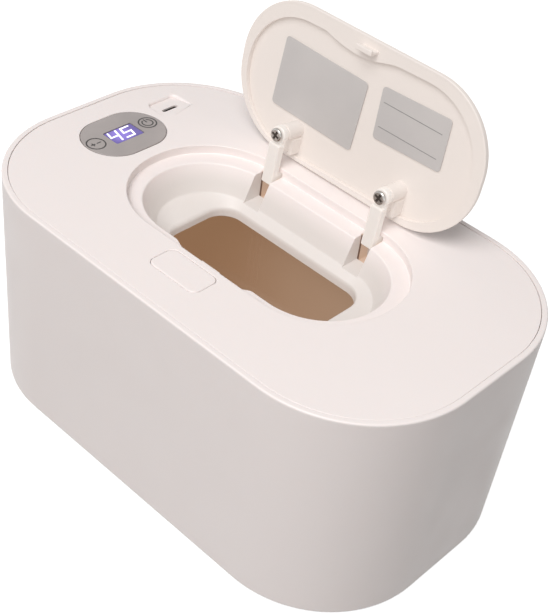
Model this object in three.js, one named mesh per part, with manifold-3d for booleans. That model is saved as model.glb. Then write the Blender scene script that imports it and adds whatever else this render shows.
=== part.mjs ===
// Baby wipe warmer: a rounded box with a lift-off top cover, a sprung flip lid and a push latch.
// Millimetres, +Z up, origin on the table under the middle of the housing, front towards -Y.
import * as THREE from "three";
import { mergeVertices } from "three/addons/utils/BufferGeometryUtils.js";
import Module from "manifold-3d";

const wasm = await Module();
wasm.setup();

// Whole housing.
const length = 210;
const width = 127.3;
const height = 97.4;
const cornerShare = 0.3755;
const cornerRadius = width * cornerShare;
const bottomInset = 1.6;
const shellWall = 2.3;
const rimRound = 0.9;
const skirtLift = 1.2;
const clearance = 0.3;
const cutOverrun = 1;

// Base, feet and base screws.
const baseLift = 2.6;
const baseThickness = 2;
const lowerRimThickness = 1.5;
const lowerRimReach = 4;
const footRadius = 6;
const footStemRadius = 2.2;
const footPlaceShares = [0.72, 0.6];
const baseScrewShares = [0.5, 0.72];

// Screws: shank, head, and the plastic posts that they cut into.
const shankRadius = 1;
const headRadius = 2.3;
const headHeight = 1.6;
const driveDepth = 0.9;
const driveWidth = 0.6;
const postRadius = 3.2;
const screwBite = 5;

// Wipe tank and the insulation round it.
const tankInset = 7.4;
const tankWall = 1.6;
const tankFloorLift = 9;
const tankFloorRound = 4;
const flangeThickness = 2;
const shelfThickness = 2.5;
const shelfReach = 3.2;

// Top cover plate, its skirt and the seal under it.
const coverDrop = 0.2;
const coverThickness = 2;
const coverGap = 0.35;
const coverEdgeRound = 0.5;
const skirtDepth = 6;
const skirtGap = 0.5;
const skirtWall = 1.8;
const sealHeight = 1.2;

// Lid recess, ledge, basin and dispensing opening in the top cover.
const endMargin = 45.4;
const sideMarginShare = 0.2447;
const sideMargin = width * sideMarginShare;
const recessLength = length - endMargin * 2;
const recessWidth = width - sideMargin * 2;
const recessCornerCut = 1;
const recessCorner = recessWidth / 2 - recessCornerCut;
const recessDepth = 3.8;
const recessRound = 0.5;
const ledgeThickness = 1.6;
const basinWall = 1.8;
const ledgeEnd = 6;
const ledgeSide = 6.1;
const mouthLength = recessLength - ledgeEnd * 2;
const mouthWidth = recessWidth - ledgeSide * 2;
const mouthShift = -0.7;
const wallRunEnd = 5;
const wallRunSide = 4.9;
const basinLength = mouthLength - wallRunEnd * 2;
const basinWidth = mouthWidth - wallRunSide * 2;
const basinDepth = 14.3;
const basinRound = 1;
const basinRoundShares = { end: 1, side: 0.6, rise: 0.4, slope: 0.3 };
const floorFall = 2;
const floorRunEnd = 11.6;
const floorRunSide = 4.2;
const openingLength = basinLength - floorRunEnd * 2;
const openingWidth = basinWidth - floorRunSide * 2;
const openingCorner = 9;
const lipRound = 1.5;
const lipDepth = 4.4;

// Notch in the front ledge that takes the lid's catch.
const notchShare = 0.515;
const notchFlareShare = 0.22;
const notchRoom = (mouthLength - mouthWidth) / 2;
const notchHalfLength = notchRoom * notchShare;
const notchFlare = notchRoom * notchFlareShare;
const notchDepth = 6.2;
const notchWall = 1.6;

// Under cover, heat spreader and heater film.
const trayGap = 1.5;
const trayWall = 1.6;
const trayFloor = 1.6;
const heaterReach = 22;
const spreaderThickness = 1;
const filmThickness = 0.4;
const spreaderLift = 0.6;
const trayScrewShares = [0.6, 0.6];

// Lid hinge: pivot, arms, pins and torsion springs.
const lidOpenAngle = 96.5;
const pivotSetback = 4.4;
const pivotDrop = 5;
const armSpacingShare = 0.43624;
const armSpacing = recessLength * armSpacingShare;
const armWidth = 6;
const armThickness = 2.8;
const armDrop = 7.8;
const armStep = 1.4;
const armShoulder = 3.8;
const armHeadRadius = 3.3;
const armNeck = 4.7;
const eyeletRadius = 2.6;
const elbowRound = 2.4;
const pinRadius = 1;
const slotWidth = 7.7;
const slotSkew = -0.25;
const pocketDepth = 9.8;
const pocketWall = 1.6;
const springRoom = 4.2;
const wellReach = 3.3;
const wellDrop = 1.6;
const springWire = 0.6;
const torsionTurns = 3;

// Lid.
const lidEndGap = 1.2;
const lidFrontGap = 1.5;
const lidBackGap = 2.3;
const lidLength = recessLength - lidEndGap * 2;
const lidWidth = recessWidth - lidFrontGap - lidBackGap;
const lidShift = (lidFrontGap - lidBackGap) / 2;
const lidCornerCut = 2.1;
const lidCorner = lidWidth / 2 - lidCornerCut;
const lidDepth = 3.5;
const lidPlate = 1.5;
const lidLip = 1.3;
const lidRound = 2.4;
const frameWidth = 3.4;
const frameEndWidth = 2.2;
const frameBackWidth = 1.4;
const frameThickness = 1.5;
const dipDepth = 3.4;
const dipShare = 0.602;
const dipHalfLength = (lidLength / 2 - lidCorner) * dipShare;
const armScrewShare = 0.201;
const tabPlaceShare = 0.2333;
const tabSetShare = 0.85;
const tabHeight = 5.2;
const tabLength = 6.6;
const tabThickness = 1.7;
const labelThickness = 0.3;
const labelRound = 1.6;
const labelClearance = 0.6;
const leftLabelAngle = 2;
const rightLabelAngle = -2;
const leftLabelPlaceShare = -0.1703;
const leftLabelSpanShare = 0.3545;
const rightLabelPlaceShare = 0.2046;
const rightLabelSpanShare = 0.2697;
const rightLabelSetShare = 0.0972;
const rightLabelDepthShare = 0.34;

// Catch on the lid, latch slider, guide and release button.
const catchWidth = 8;
const catchThickness = 1.5;
const catchTooth = 1.4;
const catchToothHeight = 1.3;
const catchDrop = 4.5;
const catchInset = 3.7;
const latchBite = 1;
const tongueThickness = 1.4;
const tongueWidth = 9;
const sliderHeight = 3.4;
const sliderRunout = 0.5;
const sliderNose = 1.5;
const wedgeWidth = 7;
const buttonLength = 23.4;
const sliderWidthShare = 0.5556;
const sliderWidth = buttonLength * sliderWidthShare;
const buttonWidthShare = 0.719;
const buttonPlaceShare = 0.4235;
const buttonCorner = 3;
const buttonTravel = 2;
const buttonCap = 1.8;
const buttonWall = 1.2;
const buttonFlange = 0.7;
const flangeHeight = 1.2;
const guideFloor = 1.5;
const guideWall = 1.5;
const coilRadius = 1.15;
const coilWire = 0.5;
const latchTurns = 3;
const springSeatShare = 0.186;
const buttonTurns = 5;

// Control panel, display, board, touch contacts and power inlet.
const panelLengthShare = 0.28515;
const panelLength = width * panelLengthShare;
const panelWidth = 26.4;
const panelInset = 26.5;
const panelX = panelInset - length / 2;
const panelY = -0.4;
const panelThickness = 0.9;
const panelProud = 0.1;
const windowLength = 14.4;
const windowWidth = 9;
const displayMargin = 0.9;
const displayStep = 0.2;
const boardDrop = 9.2;
const boardThickness = 1.6;
const boardWidth = 23;
const boardEnd = 7.5;
const boardOffset = 3;
const boardRound = 3;
const boardScrewInset = 3.6;
const keySpacingShare = 0.7328;
const keySpacing = panelLength * keySpacingShare;
const keyRadius = 2.4;
const keyWire = 0.5;
const keyTurns = 4;
const inletInset = 22.7;
const inletPlaceShare = 0.2192;
const inletX = inletInset - length / 2;
const inletY = width * inletPlaceShare;
const inletLength = 9.4;
const inletWidth = 3.3;
const inletHeight = 6;
const inletShell = 0.45;
const inletTongue = 0.7;
const inletPocketLength = 16;
const inletPocketWidth = 13.5;
const inletPocketDepth = 1.8;
const inletPocketRound = 2.5;
const inletBoss = 2.4;
const inletPocketShares = { end: 0.55, side: 0.38 };
const inletMargin = 1.5;
const boardX = panelX + boardOffset;
const boardHigh = inletY + inletLength / 2 + inletMargin;
const boardLow = panelY - keySpacing / 2 - keyRadius - boardEnd;
const boardLength = boardHigh - boardLow;
const boardY = (boardHigh + boardLow) / 2;

// Heater leads, temperature sensor and thermal fuse.
const leadRadius = 0.7;
const leadSpacing = 5;
const leadSteps = 14;
const leadSides = 8;
const sensorLength = 5;
const sensorWidth = 4;
const fuseRadius = 1.5;
const fuseLength = 9;

// Levels, from the rim down.
const zCover = height - coverDrop;
const zCoverUnder = zCover - coverThickness;
const zSkirt = zCoverUnder - skirtDepth;
const zSeal = zSkirt - clearance - sealHeight;
const zFlange = zSeal - clearance - flangeThickness;
const zShelfTop = zFlange - clearance;
const zShelfUnder = zShelfTop - shelfThickness;
const zLedge = zCover - recessDepth;
const zLedgeUnder = zLedge - ledgeThickness;
const zBasin = zCover - basinDepth;
const zOpening = zBasin - floorFall;
const zLip = zOpening - lipRound - lipDepth;
const zSpreader = zLip - spreaderLift;
const zFilm = zSpreader + spreaderThickness + clearance;
const zTray = zFilm + filmThickness + clearance;
const zLowerRim = baseLift + baseThickness + clearance;
const trayInset = tankInset + tankWall + trayGap;
const zTankFloor = tankFloorLift + tankWall;
const zBoard = zCoverUnder - boardDrop;

// Places along Y and Z that several pieces share.
const recessBack = recessWidth / 2;
const pivotY = recessBack + pivotSetback;
const pivotZ = zCover - pivotDrop;
const zLip0 = zCover - lidDepth;
const zArm = pivotZ - armDrop;
const armScrewY = lidShift + lidWidth / 2 - lidWidth * armScrewShare;
const catchFront = lidShift - lidWidth / 2 + catchInset;
const notchFront = catchFront - catchTooth - clearance - sliderRunout;
const zTooth = zLip0 - catchDrop;
const zTongue = zTooth + catchToothHeight + clearance;
const tongueTip = catchFront - catchTooth + latchBite;
const latchRoom = sideMargin - basinWall - trayInset - trayWall;
const sliderLength = latchRoom - sliderRunout - buttonTravel - guideWall - clearance * 3;
const springSeatDepth = sliderLength * springSeatShare;
const buttonWidth = latchRoom * buttonWidthShare;
const sliderFront = -recessBack - basinWall - sliderRunout;
const sliderBack = sliderFront - sliderLength;
const zSlider = zTongue + tongueThickness - sliderHeight;
const zSliderTop = zSlider + sliderHeight;
const buttonY = -recessBack - basinWall - latchRoom * buttonPlaceShare;
const zGuide = zSlider - clearance - guideFloor;

// Solids and meshes.

const cornerSteps = 8;
const smallSteps = 5;
const roundSegments = 16;
const smallSegments = 10;
const headSegments = 12;
const shankSegments = 8;
const cornerLimitShare = 0.985;
const driveShare = 0.6;
const coilSteps = 8;
const coilSides = 4;

function solid(geometry) {
  const bare = geometry.index ? geometry.toNonIndexed() : geometry.clone();
  bare.deleteAttribute("normal");
  bare.deleteAttribute("uv");
  const merged = mergeVertices(bare);
  return new wasm.Manifold(
    new wasm.Mesh({
      numProp: 3,
      vertProperties: merged.attributes.position.array,
      triVerts: new Uint32Array(merged.index.array),
    }),
  );
}

function geometryOf(body) {
  const mesh = body.getMesh();
  const geometry = new THREE.BufferGeometry();
  geometry.setAttribute("position", new THREE.BufferAttribute(mesh.vertProperties, mesh.numProp));
  geometry.setIndex(new THREE.BufferAttribute(mesh.triVerts, 1));
  const flat = geometry.toNonIndexed();
  flat.computeVertexNormals();
  return flat;
}

function join(first, ...others) {
  return others.reduce((body, other) => body.add(other), first);
}

function cut(body, ...tools) {
  return tools.reduce((left, tool) => left.subtract(tool), body);
}

// A rounded rectangle as points, anticlockwise, with the same count whatever its size.
function roundedOutline(halfX, halfY, radius, steps = cornerSteps, x = 0, y = 0) {
  const least = Math.min(halfX, halfY);
  const r = Math.min(radius, least * cornerLimitShare);
  const points = [];
  const corners = [[1, 1], [-1, 1], [-1, -1], [1, -1]];
  corners.forEach(([sx, sy], quarter) => {
    for (let i = 0; i <= steps; i += 1) {
      const angle = ((quarter + i / steps) * Math.PI) / 2;
      const px = x + sx * (halfX - r) + r * Math.cos(angle);
      const py = y + sy * (halfY - r) + r * Math.sin(angle);
      points.push(new THREE.Vector2(px, py));
    }
  });
  return points;
}

// The housing's outline at a height, drawn in by an inset and by the draft of its walls.
function bodyOutline(z, inset = 0) {
  const draft = bottomInset * (1 - (z - skirtLift) / (height - skirtLift));
  const draw = inset + draft;
  return roundedOutline(length / 2 - draw, width / 2 - draw, cornerRadius - draw);
}

// A closed solid through rings of points that hold the same count, from the lowest up.
function loft(rings) {
  const count = rings[0].points.length;
  const positions = [];
  const faces = [];
  rings.forEach(({ points, z }) => points.forEach((p) => positions.push(p.x, p.y, z)));
  for (let ring = 0; ring + 1 < rings.length; ring += 1) {
    for (let i = 0; i < count; i += 1) {
      const a = ring * count + i;
      const b = ring * count + ((i + 1) % count);
      faces.push(a, b, b + count, a, b + count, a + count);
    }
  }
  const lastRing = (rings.length - 1) * count;
  THREE.ShapeUtils.triangulateShape(rings[0].points, []).forEach(([a, b, c]) => {
    faces.push(c, b, a);
  });
  THREE.ShapeUtils.triangulateShape(rings[rings.length - 1].points, []).forEach(([a, b, c]) => {
    faces.push(lastRing + a, lastRing + b, lastRing + c);
  });
  const geometry = new THREE.BufferGeometry();
  geometry.setAttribute("position", new THREE.Float32BufferAttribute(positions, 3));
  geometry.setIndex(faces);
  return solid(geometry);
}

function prism(points, low, high) {
  const shape = new THREE.Shape(points);
  const geometry = new THREE.ExtrudeGeometry(shape, { depth: high - low, bevelEnabled: false });
  return solid(geometry.translate(0, 0, low));
}

function block(lowX, highX, lowY, highY, lowZ, highZ) {
  const geometry = new THREE.BoxGeometry(highX - lowX, highY - lowY, highZ - lowZ);
  return solid(geometry.translate((lowX + highX) / 2, (lowY + highY) / 2, (lowZ + highZ) / 2));
}

function rod(radius, low, high, x = 0, y = 0, segments = roundSegments) {
  const geometry = new THREE.CylinderGeometry(radius, radius, high - low, segments);
  return solid(geometry.rotateX(Math.PI / 2).translate(x, y, (low + high) / 2));
}

function rodAlongX(radius, low, high, y, z, segments = roundSegments) {
  const geometry = new THREE.CylinderGeometry(radius, radius, high - low, segments);
  return solid(geometry.rotateZ(Math.PI / 2).translate((low + high) / 2, y, z));
}

// A profile drawn in Y and Z, pushed along X.
function profileAlongX(points, lowX, highX) {
  const shape = new THREE.Shape(points);
  const geometry = new THREE.ExtrudeGeometry(shape, { depth: highX - lowX, bevelEnabled: false });
  const turn = new THREE.Matrix4().makeBasis(
    new THREE.Vector3(0, 1, 0),
    new THREE.Vector3(0, 0, 1),
    new THREE.Vector3(1, 0, 0),
  );
  return solid(geometry.applyMatrix4(turn).translate(lowX, 0, 0));
}

// A wire of round section along a curve.
function wire(curve, radius, steps, sides = 6) {
  const section = new THREE.Shape();
  for (let i = 0; i < sides; i += 1) {
    const angle = (i / sides) * Math.PI * 2;
    const move = i === 0 ? "moveTo" : "lineTo";
    section[move](radius * Math.cos(angle), radius * Math.sin(angle));
  }
  return new THREE.ExtrudeGeometry(section, { steps, extrudePath: curve, bevelEnabled: false });
}

class Helix extends THREE.Curve {
  constructor(radius, turns, rise) {
    super();
    this.radius = radius;
    this.turns = turns;
    this.rise = rise;
  }

  getPoint(share) {
    const angle = share * this.turns * Math.PI * 2;
    const x = this.radius * Math.cos(angle);
    const y = this.radius * Math.sin(angle);
    return new THREE.Vector3(x, y, share * this.rise);
  }
}

function coil(radius, wireDiameter, turns, rise) {
  return wire(new Helix(radius, turns, rise), wireDiameter / 2, turns * coilSteps, coilSides);
}

function finish(color, roughness, metalness = 0) {
  return new THREE.MeshStandardMaterial({ color, roughness, metalness });
}

const shellPlastic = finish(0xf2e8e5, 0.42);
const tankPlastic = finish(0xb08a6a, 0.55);
const foam = finish(0xe9e6dc, 0.95);
const blackRubber = finish(0x2b2b2b, 0.9);
const silicone = finish(0xd8d5cf, 0.8);
const panelGrey = finish(0xa59e9a, 0.25);
const displayBlack = finish(0x222026, 0.4);
const displayViolet = finish(0x5a46be, 0.2);
const boardGreen = finish(0x2e6b3e, 0.6);
const steel = finish(0xc9ccd0, 0.3, 1);
const chrome = finish(0xdadcdf, 0.15, 1);
const aluminium = finish(0xc3c6c9, 0.4, 1);
const heaterAmber = finish(0xb5722a, 0.5);
const milkyNylon = finish(0xf3f1ec, 0.35);
const labelSilver = finish(0xc0bbbb, 0.35, 0.3);
const redWire = finish(0xb0342c, 0.5);
const blackWire = finish(0x262626, 0.5);
const sensorEpoxy = finish(0x1d1d1f, 0.5);

function named(name, body, material) {
  const geometry = body.isBufferGeometry ? body : geometryOf(body);
  const mesh = new THREE.Mesh(geometry, material);
  mesh.name = name;
  return mesh;
}

// A pan-head screw, head down at zHead, shank up.
function screwUp(name, x, y, zHead, reach, material = steel) {
  const head = rod(headRadius, zHead, zHead + headHeight, x, y, headSegments);
  const shank = rod(shankRadius, zHead, zHead + headHeight + reach, x, y, shankSegments);
  const arm = headRadius * driveShare;
  const half = driveWidth / 2;
  const low = zHead - cutOverrun;
  const high = zHead + driveDepth;
  const slotA = block(x - arm, x + arm, y - half, y + half, low, high);
  const slotB = block(x - half, x + half, y - arm, y + arm, low, high);
  return named(name, cut(join(head, shank), slotA, slotB), material);
}

function fourCorners(xHalf, yHalf) {
  return [[1, -1], [1, 1], [-1, 1], [-1, -1]].map(([sx, sy]) => [sx * xHalf, sy * yHalf]);
}

const footPlaces = fourCorners((length / 2) * footPlaceShares[0], (width / 2) * footPlaceShares[1]);
const baseScrewPlaces = fourCorners((length / 2) * baseScrewShares[0], (width / 2) * baseScrewShares[1]);
const trayScrewPlaces = fourCorners((length / 2) * trayScrewShares[0], (width / 2) * trayScrewShares[1]);

// Outer housing: a drafted shell with a rounded rim, a shelf for the tank and a lower rim for the base.
function outerHousing() {
  const half = Math.SQRT1_2;
  const lowRound = rimRound;
  const outside = loft([
    { points: bodyOutline(skirtLift, lowRound), z: skirtLift },
    { points: bodyOutline(skirtLift + lowRound), z: skirtLift + lowRound },
    { points: bodyOutline(height - rimRound), z: height - rimRound },
    { points: bodyOutline(height, rimRound * (1 - half)), z: height - rimRound * (1 - half) },
    { points: bodyOutline(height, rimRound), z: height },
  ]);
  const zLowerRimTop = zLowerRim + lowerRimThickness;
  const inner = (low, high) => loft([
    { points: bodyOutline(low, shellWall), z: low },
    { points: bodyOutline(high, shellWall), z: high },
  ]);
  const neck = (low, high, reach) => loft([
    { points: bodyOutline(low, shellWall + reach), z: low },
    { points: bodyOutline(high, shellWall + reach), z: high },
  ]);
  const body = cut(
    outside,
    inner(skirtLift - cutOverrun, zLowerRim),
    inner(zLowerRimTop, zShelfUnder),
    inner(zShelfTop, height + cutOverrun),
    neck(skirtLift - cutOverrun, zLowerRimTop + cutOverrun, lowerRimReach),
    neck(zShelfUnder - cutOverrun, zShelfTop + cutOverrun, shelfReach),
  );
  return named("outer_housing", body, shellPlastic);
}

// Inner tank: holds the wipes, hangs on the housing's shelf by its flange, with posts for the base screws.
function innerTank() {
  const outline = (z, inset) => bodyOutline(z, tankInset + inset);
  const outside = loft([
    { points: outline(tankFloorLift, tankFloorRound), z: tankFloorLift },
    { points: outline(tankFloorLift + tankFloorRound, 0), z: tankFloorLift + tankFloorRound },
    { points: outline(zFlange + flangeThickness, 0), z: zFlange + flangeThickness },
  ]);
  const flange = prism(bodyOutline(zFlange, shellWall + skirtGap), zFlange, zFlange + flangeThickness);
  const top = zFlange + flangeThickness + cutOverrun;
  const inside = loft([
    { points: outline(zTankFloor, tankWall + tankFloorRound), z: zTankFloor },
    { points: outline(zTankFloor + tankFloorRound, tankWall), z: zTankFloor + tankFloorRound },
    { points: outline(top, tankWall), z: top },
  ]);
  const posts = baseScrewPlaces.map(([x, y]) => rod(postRadius, zLowerRim, zTankFloor - tankWall / 2, x, y));
  const holes = baseScrewPlaces.map(([x, y]) => {
    const low = zLowerRim - cutOverrun;
    return rod(shankRadius + clearance, low, tankFloorLift, x, y, smallSegments);
  });
  return named("inner_tank", cut(join(outside, flange, ...posts), inside, ...holes), tankPlastic);
}

// Foam sleeve between the tank and the housing.
function insulationSleeve() {
  const low = zLowerRim + lowerRimThickness + clearance;
  const high = zShelfUnder - clearance;
  const skin = (inset, from, to) => loft([
    { points: bodyOutline(from, inset), z: from },
    { points: bodyOutline(to, inset), z: to },
  ]);
  const outside = skin(shellWall + clearance, low, high);
  const inside = skin(tankInset - clearance, low - cutOverrun, high + cutOverrun);
  return named("insulation_sleeve", cut(outside, inside), foam);
}

function basePlate() {
  const plate = prism(bodyOutline(skirtLift, shellWall + clearance), baseLift, baseLift + baseThickness);
  const low = baseLift - cutOverrun;
  const high = baseLift + baseThickness + cutOverrun;
  const stemHoles = footPlaces.map(([x, y]) => rod(footStemRadius + clearance, low, high, x, y));
  const screwHoles = baseScrewPlaces.map(
    ([x, y]) => rod(shankRadius + clearance, low, high, x, y, smallSegments),
  );
  return named("base_plate", cut(plate, ...stemHoles, ...screwHoles), shellPlastic);
}

function feet() {
  return footPlaces.map(([x, y], index) => {
    const pad = rod(footRadius, 0, baseLift - clearance, x, y);
    const stem = rod(footStemRadius, 0, baseLift + baseThickness - clearance, x, y);
    return named(`rubber_foot_${index + 1}`, join(pad, stem), blackRubber);
  });
}

function baseScrews() {
  return baseScrewPlaces.map(([x, y], index) => {
    const zHead = baseLift - clearance - headHeight;
    const reach = tankFloorLift - clearance * 2 - baseLift;
    return screwUp(`base_screw_${index + 1}`, x, y, zHead, reach);
  });
}

// The hollow of the basin, from above the ledge to below the lip; grow widens it into its outer skin.
function basinRings(grow, sink, top, bottom) {
  const ring = (halfX, halfY, corner, z, shift = 0) => ({
    points: roundedOutline(halfX + grow, halfY + grow, corner + grow, cornerSteps, 0, shift),
    z,
  });
  const wallX = basinLength / 2;
  const wallY = basinWidth / 2;
  const slopeX = wallX + basinRound * basinRoundShares.slope;
  const slopeY = wallY + basinRound * basinRoundShares.slope;
  const footX = wallX - basinRound * basinRoundShares.end;
  const footY = wallY - basinRound * basinRoundShares.side;
  const openX = openingLength / 2;
  const openY = openingWidth / 2;
  const half = 1 - Math.SQRT1_2;
  const lipCorner = openingCorner + lipRound;
  return [
    ring(openX, openY, openingCorner, bottom),
    ring(openX, openY, openingCorner, zOpening - lipRound - sink),
    ring(openX + lipRound * half, openY + lipRound * half, lipCorner, zOpening - lipRound * half - sink),
    ring(openX + lipRound, openY + lipRound, lipCorner, zOpening - sink),
    ring(footX, footY, footY, zBasin - sink),
    ring(wallX, wallY, wallY, zBasin + basinRound * basinRoundShares.rise - sink),
    ring(slopeX, slopeY, slopeY, zBasin + basinRound - sink),
    ring(mouthLength / 2, mouthWidth / 2, mouthWidth / 2, zLedge - sink, mouthShift),
    ring(mouthLength / 2, mouthWidth / 2, mouthWidth / 2, top, mouthShift),
  ];
}

// The notch in the front ledge, flared at its ends.
function notchOutline(grow) {
  const back = -mouthWidth / 2 + mouthShift + basinWall;
  const front = notchFront - grow;
  const near = notchHalfLength + grow;
  const far = near + notchFlare;
  return [
    new THREE.Vector2(-far, back),
    new THREE.Vector2(-near, front),
    new THREE.Vector2(near, front),
    new THREE.Vector2(far, back),
  ];
}

function hingeX(side) {
  return (side * armSpacing) / 2;
}

function slotX(side) {
  return hingeX(side) + slotSkew;
}

// The pocket that holds one hinge eyelet, its pin and its torsion spring; grow gives its outside.
function hingePocket(side, grow) {
  const near = slotX(side) - (side * slotWidth) / 2;
  const far = slotX(side) + side * (slotWidth / 2 + springRoom);
  const lowX = Math.min(near, far) - grow;
  const highX = Math.max(near, far) + grow;
  const lowY = pivotY - eyeletRadius - clearance;
  const highY = pivotY + eyeletRadius + clearance * 2 + springWire;
  const low = pivotZ - pocketDepth;
  return block(lowX, highX, lowY - grow, highY + grow, low - grow, zCoverUnder);
}

// The slot that one arm swings through, from the basin to its pocket, with a well in its floor at the back.
function hingeSlot(side) {
  const x = slotX(side);
  const half = slotWidth / 2;
  const lowY = basinWidth / 2 - lipRound;
  const low = pivotZ - pocketDepth;
  const ledgeSlot = block(x - half, x + half, lowY, recessBack, low, zLedge + cutOverrun);
  const throat = block(x - half, x + half, lowY, pivotY, low, zCoverUnder);
  const well = block(x - half, x + half, recessBack - wellReach, pivotY, low - wellDrop, low + cutOverrun);
  return join(ledgeSlot, throat, well);
}

// The walls and the floor of that slot.
function slotShell(side) {
  const x = slotX(side);
  const half = slotWidth / 2 + pocketWall;
  const low = pivotZ - pocketDepth - pocketWall;
  const wellFront = recessBack - wellReach - pocketWall;
  const trough = block(x - half, x + half, basinWidth / 2, pivotY, low, zLedge - clearance);
  const well = block(x - half, x + half, wellFront, pivotY + pocketWall, low - wellDrop, low + pocketWall);
  return join(trough, well);
}

// The inlet's pocket: a shallow ramp, deepest on its outer side.
function inletRamp() {
  const lowX = inletX - inletPocketWidth * inletPocketShares.end;
  const highX = lowX + inletPocketWidth;
  const lowY = inletY - inletPocketLength * inletPocketShares.side;
  const midY = lowY + inletPocketLength / 2;
  const outline = roundedOutline(
    inletPocketWidth / 2, inletPocketLength / 2, inletPocketRound, smallSteps, (lowX + highX) / 2, midY,
  );
  const well = prism(outline, zCover - inletPocketDepth * 2, zCover + cutOverrun);
  const above = profileAlongX([
    new THREE.Vector2(lowY - cutOverrun, 0),
    new THREE.Vector2(lowY + inletPocketLength + cutOverrun, 0),
    new THREE.Vector2(lowY + inletPocketLength + cutOverrun, inletPocketLength),
    new THREE.Vector2(lowY - cutOverrun, inletPocketLength),
  ], 0, inletPocketWidth * 2);
  const slope = Math.atan2(inletPocketDepth, inletPocketWidth);
  const ramp = above.rotate([0, (-slope * 180) / Math.PI, 0]);
  return well.intersect(ramp.translate([lowX, 0, zCover - inletPocketDepth]));
}

// Screw posts under the cover: for the under cover, the board and the latch guide.
const zTrayTop = zTray + trayFloor;
const guideScrewX = buttonLength / 2 + buttonFlange + guideWall + clearance * 2 + postRadius;
const boardScrewPlaces = [
  [boardX + boardWidth / 2 - boardScrewInset, boardY - boardLength / 2 + boardScrewInset],
  [boardX + boardWidth / 2 - boardScrewInset, boardY + boardLength / 2 - boardScrewInset],
];
const guideScrewPlaces = [[guideScrewX, buttonY], [-guideScrewX, buttonY]];

function coverPosts() {
  const post = (x, y, low) => rod(postRadius - clearance, low, zCoverUnder + coverThickness / 2, x, y);
  return [
    ...trayScrewPlaces.map(([x, y]) => post(x, y, zTrayTop + clearance)),
    ...boardScrewPlaces.map(([x, y]) => post(x, y, zBoard + clearance)),
    ...guideScrewPlaces.map(([x, y]) => post(x, y, zGuide + guideFloor + clearance)),
  ];
}

function coverPostHoles() {
  const high = zCoverUnder - clearance;
  const hole = (x, y, low) => rod(shankRadius + clearance, low - cutOverrun, high, x, y, smallSegments);
  return [
    ...trayScrewPlaces.map(([x, y]) => hole(x, y, zTrayTop)),
    ...boardScrewPlaces.map(([x, y]) => hole(x, y, zBoard)),
    ...guideScrewPlaces.map(([x, y]) => hole(x, y, zGuide + guideFloor)),
  ];
}

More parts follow.
